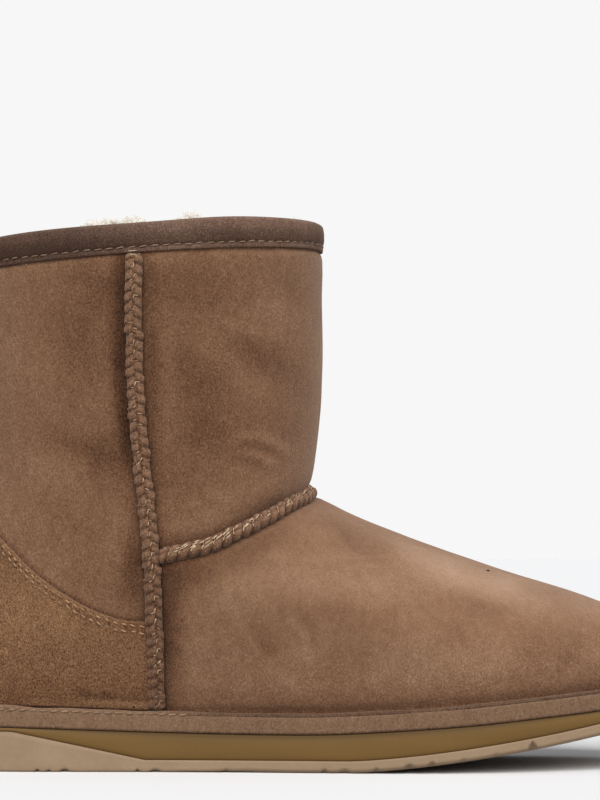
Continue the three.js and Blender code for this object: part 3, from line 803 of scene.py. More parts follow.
def repeated(name: str, masters: list[Piece], spots: Spots) -> Piece:
    """Copies master pieces to many places and joins the copies into one piece.

    Args:
        name: Name of the joined piece.
        masters: Pieces made once, with x along and z outward, used in turn and then removed.
        spots: Where the copies go, in metres.

    Returns:
        The joined piece.
    """
    along = unit(spots.along)
    outward = unit(spots.outward - scaled(along, np.einsum("ij,ij->i", spots.outward, along)))
    across = np.cross(outward, along)
    turn = np.stack([along, across, outward], axis=1)
    sizes = np.ones(len(spots.points)) if spots.sizes is None else spots.sizes
    points, faces, first = [], [], 0
    forms = [(coordinates(m.data), [tuple(p.vertices) for p in m.data.polygons]) for m in masters]
    for index in range(len(spots.points)):
        form, polygons = forms[index % len(forms)]
        points.append((form * sizes[index]) @ turn[index] + spots.points[index])
        faces.extend(tuple(corner + first for corner in polygon) for polygon in polygons)
        first += len(form)
    mesh = bpy.data.meshes.new(name)
    mesh.from_pydata(np.concatenate(points), [], faces)
    mesh.update()
    piece = bpy.data.objects.new(name, mesh)
    bpy.context.scene.collection.objects.link(piece)
    for master in masters:
        bpy.data.objects.remove(master)
    pick(piece)
    bpy.ops.object.shade_smooth()
    return piece


def stitch_master(length: float, thickness: float, bow: float = 0.2) -> Piece:
    """Makes one stitch: a short thread that dips into the leather at both ends.

    Args:
        length: Its length in millimetres.
        thickness: Its thickness in millimetres.
        bow: How far its middle stands above its ends, in millimetres.

    Returns:
        The stitch, along x with z outward.
    """
    deselect()
    bpy.ops.mesh.primitive_uv_sphere_add(segments=8, ring_count=7, radius=0.5, rotation=(0, math.pi / 2, 0))
    piece = bpy.context.object
    bpy.ops.object.transform_apply(location=False, rotation=True, scale=False)
    edit(piece, lambda: bpy.ops.transform.resize(value=(length * MM, thickness * MM, thickness * MM)))
    points = coordinates(piece.data)
    share = held(np.abs(points[:, 0]) / (length * MM / 2))
    full = np.sqrt(np.maximum(1 - share**2, 0))
    wanted = held(1 - share**4) ** 0.5
    points[:, 1:] *= (wanted / np.maximum(full, 0.2))[:, None]
    points[:, 2] += bow * MM * (1 - 2 * share**2)
    set_coordinates(piece.data, points)
    return piece


def dress(piece: Piece, slot: Slot, finish: Material, *nodes: str) -> None:
    """Gives a piece its finish and body, hides the solids that it stands for, and reports it.

    Args:
        piece: The piece.
        slot: The record's material slot; not used.
        finish: The material.
        nodes: Solids that the piece replaces.
    """
    piece.data.materials.clear()
    piece.data.materials.append(finish)
    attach(piece, ROOT)
    if nodes:
        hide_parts(*nodes)
    log.info("%s: %d faces", piece.name, len(piece.data.polygons))


# finishes


def linear(colour: Colour) -> tuple[float, float, float, float]:
    """Returns a screen colour of 0 to 255 as the linear colour that shaders take."""
    parts = [c / 255 for c in colour]
    low, power = 0.04045, 2.4
    red, green, blue = (p / 12.92 if p <= low else ((p + 0.055) / 1.055) ** power for p in parts)
    return red, green, blue, 1.0


class Sketch:
    """A material's node tree, with short calls for what the finishes use."""

    def __init__(self, name: str, roughness: float, specular: float = 0.3) -> None:
        """Makes the material with its shader.

        Args:
            name: Name of the material.
            roughness: The same all over, unless it is linked later.
            specular: Specular level.
        """
        self.material = bpy.data.materials.new(name)
        self.material.use_nodes = True
        self.tree = self.material.node_tree
        self.tree.nodes.clear()
        self.shader = self.node("BsdfPrincipled", Roughness=roughness, Specular_IOR_Level=specular)
        self.put(self.node("OutputMaterial").inputs["Surface"], self.shader.outputs["BSDF"])
        self.place = self.node("TexCoord").outputs["Object"]

    def node(self, kind: str, **values: object) -> bpy.types.Node:
        """Adds a node and sets or links its inputs, with _ for each space of their names."""
        node = self.tree.nodes.new("ShaderNode" + kind)
        for name, value in values.items():
            self.put(node.inputs[name.replace("_", " ")], value)
        return node

    def put(self, socket: Socket, value: object) -> None:
        """Links a socket to another, or sets its value."""
        if isinstance(value, Socket):
            self.tree.links.new(value, socket)
        else:
            socket.default_value = value

    def sheen(self, weight: float, roughness: float, colour: Colour) -> None:
        """Sets the soft glow of the nap at grazing angles."""
        self.shader.inputs["Sheen Weight"].default_value = weight
        self.shader.inputs["Sheen Roughness"].default_value = roughness
        self.shader.inputs["Sheen Tint"].default_value = linear(colour)

    def stretched(
        self, scale: tuple[float, float, float], turn: tuple[float, float, float] = (0, 0, 0)
    ) -> Socket:
        """Returns object coordinates turned by degrees and stretched."""
        angles = [math.radians(angle) for angle in turn]
        return self.node("Mapping", Vector=self.place, Rotation=angles, Scale=scale).outputs["Vector"]

    def noise(
        self, size: float, detail: float = 3, rough: float = 0.55, place: object = None, warp: float = 0
    ) -> Socket:
        """Returns a cloudy pattern of 0 to 1 whose blots are about a size in millimetres."""
        return self.node(
            "TexNoise", Vector=place or self.place, Scale=1 / (size * MM), Detail=detail, Roughness=rough,
            Distortion=warp,
        ).outputs["Fac"]

    def cells(self, size: float) -> Socket:
        """Returns the distance pattern of cells of a size in millimetres."""
        return self.node("TexVoronoi", Vector=self.place, Scale=1 / (size * MM)).outputs["Distance"]

    def reckon(self, operation: str, *values: object) -> Socket:
        """Returns what an operation makes of values."""
        node = self.node("Math")
        node.operation = operation
        for socket, value in zip(node.inputs, values):
            self.put(socket, value)
        return node.outputs[0]

    def sum(self, base: float, *parts: tuple[object, float, float]) -> object:
        """Adds patterns to a number.

        Args:
            base: Where the sum starts.
            parts: Pattern, its neutral value and its strength.

        Returns:
            The socket with the sum.
        """
        total: object = base
        for pattern, neutral, strength in parts:
            total = self.reckon("ADD", self.reckon("MULTIPLY_ADD", pattern, strength, -neutral * strength), total)
        return total

    def ramp(self, value: object, *stops: tuple[float, Colour]) -> Socket:
        """Returns the colours of a ramp for a value."""
        node = self.node("ValToRGB", Fac=value)
        line = node.color_ramp.elements
        while len(line) < len(stops):
            line.new(0.5)
        for element, (at, colour) in zip(line, stops):
            element.position = at
            element.color = linear(colour)
        return node.outputs["Color"]

    def attribute(self, name: str) -> Socket:
        """Returns a number kept in the mesh."""
        node = self.node("Attribute")
        node.attribute_name = name
        return node.outputs["Fac"]

    def bump(self, height: object, depth: float, strength: float) -> None:
        """Adds a relief of a depth in millimetres."""
        node = self.node("Bump", Strength=strength, Distance=depth * MM, Height=height)
        normal = self.shader.inputs["Normal"]
        if normal.is_linked:
            self.put(node.inputs["Normal"], normal.links[0].from_socket)
        self.put(normal, node.outputs["Normal"])

    def colour(self, value: object) -> Material:
        """Sets the colour and returns the finished material."""
        self.put(self.shader.inputs["Base Color"], value)
        return self.material


@dataclass(frozen=True)
class SuedeFinish:
    """Brushed suede: blots where the nap lies, streaks of the brush, grain and short fibres."""

    name: str
    deep: Colour
    dark: Colour
    plain: Colour
    light: Colour
    grain: float = 1.0
    grain_size: float = 0.8
    blots: float = 0.2
    relief: float = 0.16
    mapped: bool = False

    def build(self) -> Material:
        """Returns the material."""
        s = Sketch(self.name, 0.96, 0.12)
        s.sheen(0.42, 0.5, (232, 212, 196))
        blots = s.noise(24, 4, 0.6, warp=0.4)
        streaks = s.noise(8, 4, 0.62, s.stretched((1, 1, 0.5), (0, 32, 0)), 0.7)
        brush = s.noise(2.6, 3, 0.65, s.stretched((1.0, 1.0, 0.6), (0, -24, 0)))
        grain = s.noise(self.grain_size, 2, 0.8)
        fibre = s.noise(0.5, 1, 0.8, s.stretched((1, 1, 0.7), (0, 20, 0)))
        fine = s.sum(0, (grain, 0.5, self.grain), (fibre, 0.5, self.grain * 1.1))
        if self.mapped:
            fine = s.reckon("MULTIPLY", fine, s.attribute("nap"))
        # tone brings the nap's patches with the painted shade and highlight of the creases; shade is painted shade by
        # seams and edges
        value = s.sum(
            0.56, (blots, 0.5, self.blots), (streaks, 0.5, 0.16), (brush, 0.5, 0.24), (fine, 0, 1),
            (s.attribute("tone"), 0, 0.6), (s.attribute("shade"), 0, -0.34),
        )
        s.bump(grain, self.relief, 0.6)
        s.bump(fibre, self.relief * 0.6, 0.7)
        return s.colour(s.ramp(value, (0.0, self.deep), (0.3, self.dark), (0.58, self.plain), (1.0, self.light)))


@dataclass(frozen=True)
class BindingFinish:
    """Smooth folded strip, lighter over the top of the rim."""

    name: str = "binding_brown"
    dark: Colour = (66, 44, 33)
    plain: Colour = (106, 79, 64)
    light: Colour = (144, 115, 98)

    def build(self) -> Material:
        """Returns the material."""
        s = Sketch(self.name, 0.72, 0.3)
        s.sheen(0.12, 0.5, (220, 190, 165))
        blots = s.noise(18, 3, 0.5)
        pull = s.noise(2.6, 3, 0.6, s.stretched((1, 1, 0.4), (0, 14, 0)))
        grain = s.noise(0.55, 2, 0.8)
        value = s.sum(0.56, (blots, 0.5, 0.4), (pull, 0.5, 0.3), (grain, 0.5, 2.0), (s.attribute("tone"), 0, 1.0))
        s.bump(grain, 0.1, 0.5)
        s.bump(pull, 0.22, 0.5)
        return s.colour(s.ramp(value, (0.0, self.dark), (0.55, self.plain), (1.0, self.light)))


@dataclass(frozen=True)
class FoamFinish:
    """Moulded olive foam with a faint flow along the sole and fine pores."""

    name: str = "midsole_olive"
    dark: Colour = (96, 71, 32)
    plain: Colour = (129, 97, 50)
    light: Colour = (147, 115, 64)

    def build(self) -> Material:
        """Returns the material."""
        s = Sketch(self.name, 0.62, 0.35)
        flow = s.noise(16, 3, 0.5, s.stretched((0.25, 0.25, 1.6)))
        pores = s.noise(0.5, 2, 0.6)
        value = s.sum(0.5, (flow, 0.5, 0.5), (pores, 0.5, 0.25), (s.attribute("tone"), 0, 1.0))
        s.bump(pores, 0.06, 0.5)
        s.bump(flow, 0.2, 0.35)
        return s.colour(s.ramp(value, (0.0, self.dark), (0.5, self.plain), (1.0, self.light)))


@dataclass(frozen=True)
class RubberFinish:
    """Tan sole rubber, dusty and a little uneven."""

    name: str = "outsole_tan"
    dark: Colour = (146, 121, 96)
    plain: Colour = (170, 144, 116)
    light: Colour = (192, 167, 140)

    def build(self) -> Material:
        """Returns the material."""
        s = Sketch(self.name, 0.7, 0.35)
        dust = s.noise(14, 4, 0.6)
        grain = s.noise(0.55, 2, 0.6)
        specks = s.cells(2.2)
        value = s.sum(0.5, (dust, 0.5, 0.5), (grain, 0.5, 0.22), (specks, 0.4, 0.08))
        s.bump(grain, 0.08, 0.5)
        s.bump(specks, 0.08, 0.3)
        return s.colour(s.ramp(value, (0.0, self.dark), (0.5, self.plain), (1.0, self.light)))


@dataclass(frozen=True)
class FleeceFinish:
    """Curly wool, creamy in its depth and paler at the tips; a glow above zero is painted light, the wool shining by
    itself.
    """

    name: str = "fleece_cream"
    deep: Colour = (196, 182, 160)
    plain: Colour = (232, 224, 210)
    light: Colour = (247, 243, 234)
    glow: float = 0.0

    def build(self) -> Material:
        """Returns the material."""
        s = Sketch(self.name, 0.95, 0.1)
        # painted light: the emission lifts the wool's shadows
        s.shader.inputs["Emission Color"].default_value = linear(self.light)
        s.shader.inputs["Emission Strength"].default_value = self.glow
        s.sheen(0.5, 0.5, (255, 250, 240))
        s.shader.inputs["Subsurface Weight"].default_value = 0.15
        s.shader.inputs["Subsurface Radius"].default_value = (0.004, 0.003, 0.002)
        s.shader.inputs["Subsurface Scale"].default_value = 0.5
        clumps = s.noise(7, 3, 0.6)
        fibre = s.noise(0.7, 3, 0.7, s.stretched((1, 1, 0.6)))
        value = s.sum(0.55, (clumps, 0.5, 0.9), (fibre, 0.5, 0.5))
        s.bump(fibre, 0.5, 0.7)
        return s.colour(s.ramp(value, (0.0, self.deep), (0.5, self.plain), (1.0, self.light)))


@dataclass(frozen=True)
class ThreadFinish:
    """Twisted sewing thread with a little gloss."""

    name: str
    dark: Colour
    light: Colour
    gloss: float = 0.45

    def build(self) -> Material:
        """Returns the material."""
        s = Sketch(self.name, self.gloss, 0.5)
        s.sheen(0.3, 0.4, (255, 240, 220))
        twist = s.noise(0.5, 2, 0.6)
        wear = s.noise(7, 2, 0.5)
        value = s.sum(0.5, (twist, 0.5, 0.9), (wear, 0.5, 1.3))
        s.bump(twist, 0.12, 0.8)
        return s.colour(s.ramp(value, (0.1, self.dark), (0.85, self.light)))


# pieces


@dataclass
class Boot:
    """What all pieces share: the shape, its soft forms and the column spacing of the solids."""

    shape: BootShape = field(default_factory=BootShape)
    rear: int = 12
    front: int = 20

    def __post_init__(self) -> None:
        """Lays the soft forms on the shape."""
        self.forms = SoftForms(self.shape)
        total = 2 * (self.rear + self.front)
        self.marks = np.array([0, self.rear, self.rear + 2 * self.front, total]) / total

    def laps(self, share: Array) -> Array:
        """Returns the laps at shares of the way round, closer at the heel as the solids' columns are."""
        return np.interp(share, self.marks, [0, 1, 3, 4])

    def suede_point(self, lap: Array, level: Array, offset: Array | float = 0.0, seams: bool = True) -> Array:
        """Finds points over the suede as it lies, soft forms included.

        Args:
            lap: Laps.
            level: Levels.
            offset: Lengths outward from the suede.
            seams: Whether the troughs beside the seams count.

        Returns:
            Points in millimetres.
        """
        base = self.shape.skin(lap, level)
        normal = self.shape.normal(lap, level)
        rise = self.forms.rise(lap, level, base, seams) - self.shape.sink(lap, level)
        return base + scaled(normal, rise + offset)


@dataclass
class Upper:
    """The suede skin of foot and shaft, one hollow wall."""

    boot: Boot
    columns: int = 384
    foot_rows: int = 62
    shaft_rows: int = 58
    welt_rows: int = 4
    inner_rows: int = 16
    low_level: float = 0.3

    def build(self) -> Piece:
        """Returns the skin, with its nap, its tone and its painted shade kept for the finish."""
        outer = self.welt_rows + self.foot_rows + self.shaft_rows
        rows = outer + self.inner_rows + 2
        marks = [0, self.welt_rows, self.welt_rows + self.foot_rows, outer, outer + 1, rows - 1, rows]
        levels = [self.low_level, 1, 2, 3, 3, self.low_level, self.low_level]
        wall = self.boot.shape.wall
        offsets = [0, 0, 0, 0, -wall, -wall, 0]
        cache: dict[str, Array] = {}

        def place(u: Array, v: Array) -> Array:
            lap, level = self.boot.laps(u), np.interp(v * rows, marks, levels)
            inward = np.interp(v * rows, marks, offsets)
            base = self.boot.shape.skin(lap, level)
            normal = self.boot.shape.normal(lap, level)
            rise = self.boot.forms.rise(lap, level, base) - self.boot.shape.sink(lap, level)
            cache["base"] = base
            points = base + scaled(normal, np.where(inward < 0, inward, rise))
            return self.boot.shape.world(points)

        return wrapped(
            "suede_upper", self.columns, rows, place,
            tone=lambda u, v: self.boot.forms.tone(cache["base"]),
            shade=lambda u, v: self.boot.forms.shade(cache["base"]),
            nap=lambda u, v: self.boot.forms.nap(self.boot.laps(u), np.interp(v * rows, marks, levels), cache["base"]),
        )

    def dress(self, finish: Material) -> None:
        """Builds the skin and gives it its suede."""
        dress(self.build(), Slot.SUEDE, finish, "upper")


@dataclass
class HeelCounter:
    """Suede overlay round the heel with two rows of stitches under its edge."""

    boot: Boot
    columns: int = 150
    rows: int = 46
    trim: float = 0.016
    edge_round: float = 0.5
    row_drops: tuple[float, float] = (1.3, 3.5)
    stitch_pitch: float = 3.0
    stitch_length: float = 1.9
    stitch_thickness: float = 0.6

    def lap_at(self, share: Array) -> Array:
        """Returns laps from the inner side seam, -1, to the outer one, 1."""
        return mix(-1 + self.trim, 1 - self.trim, share)

    def levels(self, lap: Array) -> Pair:
        """Returns the levels of the overlay's lower and upper edge."""
        shape = self.boot.shape
        foot = shape.deck(shape.skin(lap, 1.0)[:, 0]) + shape.welt_height
        return shape.level_at(lap, foot - 0.4), shape.level_at(lap, shape.counter_height(lap))

    def build(self) -> Piece:
        """Returns the overlay."""
        shape, boot = self.boot.shape, self.boot
        laps = self.lap_at(np.linspace(0, 1, self.columns + 1))
        low, high = self.levels(laps)
        across = self.rows // 2
        cache: dict[str, Array] = {}

        def place(u: Array, v: Array) -> Array:
            lap = self.lap_at(u)
            step = np.where(v > 0.9999, 0, v * self.rows)
            outside = step <= across
            last = across - 2
            row = np.clip(np.where(outside, step, self.rows - step), 0, last)
            share = np.interp(row, [0, 1, 2, last - 2, last - 1, last], [0, 0.008, 0.02, 0.982, 0.993, 1])
            level = mix(np.interp(lap, laps, low), np.interp(lap, laps, high), share)
            rounding = self.edge_round * held(1 - np.minimum(row, last - row) / 2) ** 2
            thick = np.where(outside, shape.counter_thickness - rounding, -0.35)
            thick = np.where(np.abs(u - 0.5) > 0.4999, 0.1, thick)
            points = boot.suede_point(lap, level, shape.overlay_clearance + thick, seams=False)
            cache["base"] = points
            return shape.world(points)

        def tone(u: Array, v: Array) -> Array:
            base = cache["base"]
            edge = boot.forms.apart(base, boot.forms.counter_line)
            above = shape.over_welt(base)
            # painted highlight on the fold above the welt, with painted shade in the crease above it
            lip = held((base[:, 0] - 40) / 8) * (0.5 * held(1.5 - np.abs(above - 1.6)) - 0.3 * bell(above - 4.3, 0.5))
            # painted highlight along the top edge, and a darker band below it
            return boot.forms.tone(base) + 0.1 * bell(edge - 0.5, 0.35) - 0.1 * bell(edge - 2.4, 0.9) + lip

        def shade(u: Array, v: Array) -> Array:
            # painted shade beside the side seams and, fainter, toward the welt
            side, _ = boot.forms.from_seams(cache["base"])
            above = shape.over_welt(cache["base"])
            return 0.4 * bell(side, 4) + 0.12 * bell(np.maximum(above - 4, 0), 6)

        return wrapped("heel_counter_suede", self.columns, self.rows, place, tone=tone, shade=shade)

    def stitches(self) -> Piece:
        """Returns the two rows of stitches."""
        shape, boot = self.boot.shape, self.boot
        rng = np.random.default_rng(11)
        laps = self.lap_at(np.linspace(0.004, 0.996, 900))
        points, along, outward = [], [], []
        for drop in self.row_drops:
            level = shape.level_at(laps, shape.counter_height(laps) - drop)
            lift = shape.overlay_clearance + shape.counter_thickness + 0.08
            line = boot.suede_point(laps, level, lift, seams=False)
            spots = evenly(line, self.stitch_pitch)
            points.append(spots[0] + rng.normal(0, 0.12, spots[0].shape))
            along.append(spots[1] + rng.normal(0, 0.1, spots[0].shape) - np.array([0, 0, 0.25]))
            rows = np.linspace(0, 1, len(level))
            outward.append(shape.normal(np.interp(spots[2], rows, laps), np.interp(spots[2], rows, level)))
        spots = Spots(shape.world(np.concatenate(points)), np.concatenate(along), np.concatenate(outward))
        return repeated("counter_stitches", [stitch_master(self.stitch_length, self.stitch_thickness, 0.12)], spots)

    def dress(self, suede: Material, thread: Material) -> None:
        """Builds overlay and stitches and gives them their finishes."""
        dress(self.build(), Slot.COUNTER, suede, "heel_counter")
        dress(self.stitches(), Slot.THREAD, thread)


def evenly(line: Array, pitch: float) -> tuple[Array, Array, Array]:
    """Walks a line in equal steps.

    Args:
        line: Points of the line.
        pitch: Length of a step.

    Returns:
        The points half way along each step, the directions there, and the shares of the line's rows.
    """
    run = np.concatenate([[0], np.cumsum(np.linalg.norm(np.diff(line, axis=0), axis=1))])
    count = max(1, int(round(run[-1] / pitch)))
    at = (np.arange(count) + 0.5) * run[-1] / count
    points = between(at, run, line)
    ahead = between(at + 0.3, run, line)
    behind = between(at - 0.3, run, line)
    return points, unit(ahead - behind), np.interp(at, run, np.linspace(0, 1, len(line)))


@dataclass
class CollarBinding:
    """Folded strip over the rim, sewn down near its lower edge."""

    boot: Boot
    columns: int = 320
    stitch_pitch: float = 3.9
    stitch_length: float = 2.7
    stitch_thickness: float = 0.5
    stitch_rise: float = 2.0
    lean: float = 0.1

    def section(self) -> Array:
        """Returns the strip's section: length below the rim, offset outward and lift above the rim."""
        shape = self.boot.shape
        depth, cover = shape.binding_depth, shape.clearance + shape.binding_thickness
        inward = -(shape.wall - shape.binding_sink) - shape.clearance
        row = self.stitch_rise
        return np.array([
            (depth, shape.clearance * 0.3, 0), (depth, cover - 0.35, 0), (depth - 0.12, cover - 0.06, 0),
            (depth - row + 0.8, cover + 0.08, 0), (depth - row + 0.35, cover - 0.12, 0),
            (depth - row, cover - 0.32, 0), (depth - row - 0.4, cover - 0.1, 0),
            (depth - row - 1.2, cover + 0.22, 0), (4.0, cover + 0.36, 0), (2.0, cover + 0.26, 0), (0.7, cover, 0),
            (0, cover - 0.3, 0.5), (0, cover - 0.9, 1.15), (0, cover - 1.8, 1.55), (0, inward + 0.2, 1.5),
            (0, inward - 0.7, 1.0), (0.4, inward - 1.2, 0.2), (3.0, inward - 1.3, 0), (depth, inward - 1.3, 0),
            (depth, inward, 0), (3.0, inward, 0), (0, inward, 0), (0, shape.clearance, 0), (3.0, shape.clearance, 0),
        ])

    def build(self) -> Piece:
        """Returns the strip."""
        shape = self.boot.shape
        section = self.section()
        closed = np.vstack([section, section[:1]])
        rows = 3 * (len(closed) - 1)
        marks = np.linspace(0, 1, len(closed))

        def place(u: Array, v: Array) -> Array:
            lap = self.boot.laps(u)
            drop, offset, lift = (np.interp(v, marks, closed[:, axis]) for axis in range(3))
            level = 3 - drop / shape.shaft_length(lap)
            outward = shape.normal(lap, 3.0)
            near = np.minimum(lap, 4 - lap)
            fade = held(near * 5)
            ripple = fade * (0.16 * np.sin(lap * 37) * np.sin(lap * 11.3) + 0.1 * np.sin(lap * 71 + 1))
            points = shape.skin(lap, level) + scaled(outward, offset - shape.binding_sink + ripple * (offset > 0.9))
            crown = 0.9 * (bell(near - 1.3, 0.22) + bell(near - 0.55, 0.3)) * held(1 - drop / 7)
            points[:, 2] += lift + crown + 0.14 * fade * np.sin(lap * 9.1) * (lift > 0.4)
            return shape.world(points)

        def tone(u: Array, v: Array) -> Array:
            drop = np.interp(v, marks, closed[:, 0])
            lap = self.boot.laps(u)
            # painted shade in the sunk stitch row; lighter over the top of the rim, darker across the middle, lighter
            # on the lip below the row, and darker behind the side seams
            rear = 0.42 * held((1.12 - np.minimum(lap, 4 - lap)) * 2.2)
            lip = shape.binding_depth - self.stitch_rise
            body = 0.1 * bell(drop, 2.4) - 0.2 * bell(drop - 4.4, 2.2) - 0.3 * bell(drop - lip, 0.5)
            return body + 0.16 * bell(drop - lip - 1.1, 0.6) - rear + 0.05 * np.sin(lap * 13)

        return wrapped("collar_binding_strip", self.columns, rows, place, tone=tone)

    def stitches(self) -> Piece:
        """Returns the row of stitches round the strip."""
        shape = self.boot.shape
        rng = np.random.default_rng(5)
        laps = np.linspace(0, 4, 1400)
        level = 3 - (shape.binding_depth - self.stitch_rise) / shape.shaft_length(laps)
        outward = shape.normal(laps, 3.0)
        cover = shape.clearance + shape.binding_thickness - shape.binding_sink - 0.12
        line = shape.skin(laps, level) + scaled(outward, cover)
        points, along, share = evenly(line, self.stitch_pitch)
        ways = between(share, np.linspace(0, 1, len(laps)), outward)
        along[:, 2] += self.lean
        along += rng.normal(0, 0.05, along.shape)
        spots = Spots(shape.world(points + rng.normal(0, 0.08, points.shape)), along, ways)
        return repeated("binding_stitches", [stitch_master(self.stitch_length, self.stitch_thickness, 0.16)], spots)

    def dress(self, strip: Material, thread: Material) -> None:
        """Builds strip and stitches and gives them their finishes."""
        dress(self.build(), Slot.BINDING, strip, "collar_binding")
        dress(self.stitches(), Slot.THREAD, thread)


@dataclass
class BraidedSeam:
    """Raised seam whose two edges are drawn into lobes by whip stitches over them."""

    boot: Boot
    name: str
    node: str
    laps: tuple[float, float]
    levels: tuple[float, float]
    half_width: float = 3.0
    half_height: float = 2.3
    lift: float = 0.7
    pitch: float = 3.7
    pinch: float = 0.72
    groove: float = 0.5
    lag: float = 0.3
    twist: float = 0.0
    stagger: float = 0.5
    per_pitch: int = 12
    around: int = 30
    thread: float = 0.34
    thread_side: float = 0.0
    drift: float = 0.0
    reach: float = 0.62
    glints: float = 0.75
    strands: int = 0
    # how much darker the braid gets toward its lower end; the field below is painted shade on the braid's downward side
    low_darkening: float = 0.0
    lower: float = 0.0
    seed: int = 3

    def __post_init__(self) -> None:
        """Lays the seam's middle line on the boot."""
        shape = self.boot.shape
        count = 500
        lap, level = np.linspace(*self.laps, count), np.linspace(*self.levels, count)
        base = shape.skin(lap, level)
        normal = shape.normal(lap, level)
        rise = self.boot.forms.rise(lap, level, base, seams=False) - shape.sink(lap, level) * 0.6
        self.line = base + scaled(normal, rise + self.lift)
        run = np.concatenate([[0], np.cumsum(np.linalg.norm(np.diff(self.line, axis=0), axis=1))])
        self.length = run[-1]
        self.run = run
        self.outward = normal
        self.along = unit(np.gradient(self.line, axis=0))
        self.across = unit(np.cross(self.outward, self.along))
        self.count = int(round(self.length / self.pitch))
        rng = np.random.default_rng(self.seed)
        self.depths = rng.uniform(0.65, 1.25, self.count + 2)
        self.slips = rng.normal(0, 0.22, self.count + 2)

    def at(self, share: Array) -> tuple[Array, Array, Array]:
        """Returns the middle, the way across and the way out at shares of the seam's length."""
        ways = (self.line, self.across, self.outward)
        middle, across, outward = (between(share * self.length, self.run, way) for way in ways)
        return middle, unit(across), unit(outward)

    def surface(self, share: Array, angle: Array, offset: float = 0.0) -> Array:
        """Finds points of the braid.

        Args:
            share: Shares of the seam's length.
            angle: Angles round it, a quarter turn being its top.
            offset: Length outward from its surface.

        Returns:
            Points in millimetres.
        """
        middle, across, outward = self.at(share)
        side, top = np.cos(angle), np.sin(angle)
        valley = self.valley(share, angle)
        index = np.clip(np.round(share * self.count).astype(int), 0, self.count + 1)
        ends = held(np.minimum(share, 1 - share) * self.length / 1.2) ** 0.5
        upper = held(top + 0.45)
        middle_groove = self.groove * bell(side - self.line_side(share), 0.2)
        shrink = (self.pinch * self.depths[index] * valley + middle_groove) * upper
        width = (self.half_width - shrink * 0.8) * (0.55 + 0.45 * ends) + offset
        height = (self.half_height - shrink) * (0.45 + 0.55 * ends) + offset
        slip = self.slips[index] * (1 - valley)
        return middle + scaled(across, side * width + slip) + scaled(outward, top * height)

    def line_side(self, share: Array) -> Array:
        """Returns how far beside the braid's middle the thread runs, drifting over its lower half."""
        return self.thread_side + self.drift * held(1.3 - 2.6 * share)

    def shift(self, share: Array, angle: Array) -> Array:
        """Returns how many pitches the lobes lag at angles round the braid."""
        side = np.cos(angle) - self.line_side(share)
        return self.lag * np.abs(side) + self.twist * side + self.stagger * (side > 0)

    def valley(self, share: Array, angle: Array) -> Array:
        """Returns 1 in the pinches between the lobes and 0 on top of them."""
        side = np.cos(angle) - self.line_side(share)
        right = held(side / 0.3 + 0.5)
        base = share * self.count + self.lag * np.abs(side) + self.twist * side
        left, other = (1 - np.abs(np.sin(math.pi * (base + more))) ** 0.62 for more in (0, self.stagger))
        return mix(left, other, right)

    def build(self) -> Piece:
        """Returns the braid with closed ends."""
        shape = self.boot.shape
        rows = self.count * self.per_pitch

        def place(u: Array, v: Array) -> Array:
            share = held((v * (rows + 2) - 1) / rows)
            angle = u * 2 * math.pi
            points = self.surface(share, angle)
            tips = (v < 0.5 / rows) | (v > 1 - 0.5 / rows)
            middle = self.at(share)[0]
            points[tips] = middle[tips]
            return shape.world(points)

        def tone(u: Array, v: Array) -> Array:
            side = np.cos(u * 2 * math.pi)
            # darker toward the lower end, and painted shade on the braid's downward side and in the pinches between
            # lobes
            low_darkening = self.low_darkening * held(1.4 - 3 * v) + self.lower * held(-side - 0.1)
            return -0.06 - 0.2 * self.valley(v, u * 2 * math.pi) - low_darkening

        def shade(u: Array, v: Array) -> Array:
            angle = u * 2 * math.pi
            # painted shade in the pinches, at the braid's base and along its middle groove
            low = held(0.3 - np.sin(angle))
            middle = 0.5 * bell(np.cos(angle) - self.line_side(v), 0.14)
            return held(0.8 * self.valley(v, angle) ** 1.5 + low + middle)

        return wrapped(self.name, self.around, rows + 2, place, tone=tone, shade=shade)

    def threads(self) -> Piece:
        """Returns the whip stitches: one over each pinch and one link along the groove."""
        shape = self.boot.shape
        rng = np.random.default_rng(self.seed + 40)
        number = np.arange(1, self.count)
        lean = np.arccos(self.line_side(number / self.count))
        bits = []
        for first, last in ((self.reach, 0.08), (-0.08, -self.reach), (0.1, -0.1)):
            ends = []
            for angle in (first, last):
                angles = lean + angle + rng.normal(0, 0.05, number.shape)
                wanted = number - self.shift(number / self.count, angles) + rng.normal(0, 0.05, number.shape)
                share = held(wanted / self.count)
                ends.append(self.surface(share, angles, self.thread * 0.15))
            keep = rng.random(number.shape) < self.glints
            middle = (ends[0] + ends[1]) / 2
            bits.append((middle[keep], (ends[1] - ends[0])[keep], self.at(number / self.count)[2][keep]))
        for _ in range(self.strands):
            angles = lean + rng.normal(0.02, 0.26, number.shape)
            first = number + rng.uniform(0, 1, number.shape)
            ends = [
                self.surface(held(at / self.count), angle, self.thread * 0.3)
                for at, angle in ((first, angles), (first + rng.uniform(0.35, 0.6, number.shape), angles - 0.24))
            ]
            from_end = np.minimum(first, self.count - first) / self.count
            keep = rng.random(number.shape) < np.clip(1.5 - 4.2 * from_end, 0.3, 1)
            middle = (ends[0] + ends[1]) / 2
            bits.append((middle[keep], (ends[1] - ends[0])[keep], self.at(first / self.count)[2][keep]))
        points, along, outward = (np.concatenate([bit[part] for bit in bits]) for part in range(3))
        sizes = np.clip(np.linalg.norm(along, axis=1) / 1.7, 0.6, 1.2)
        spots = Spots(shape.world(points), along, outward, sizes)
        return repeated(self.name + "_thread", [stitch_master(1.9, self.thread, 0.22)], spots)

    def dress(self, suede: Material, thread: Material) -> None:
        """Builds braid and thread and gives them their finishes."""
        dress(self.build(), Slot.SEAM, suede, self.node)
        dress(self.threads(), Slot.THREAD, thread)


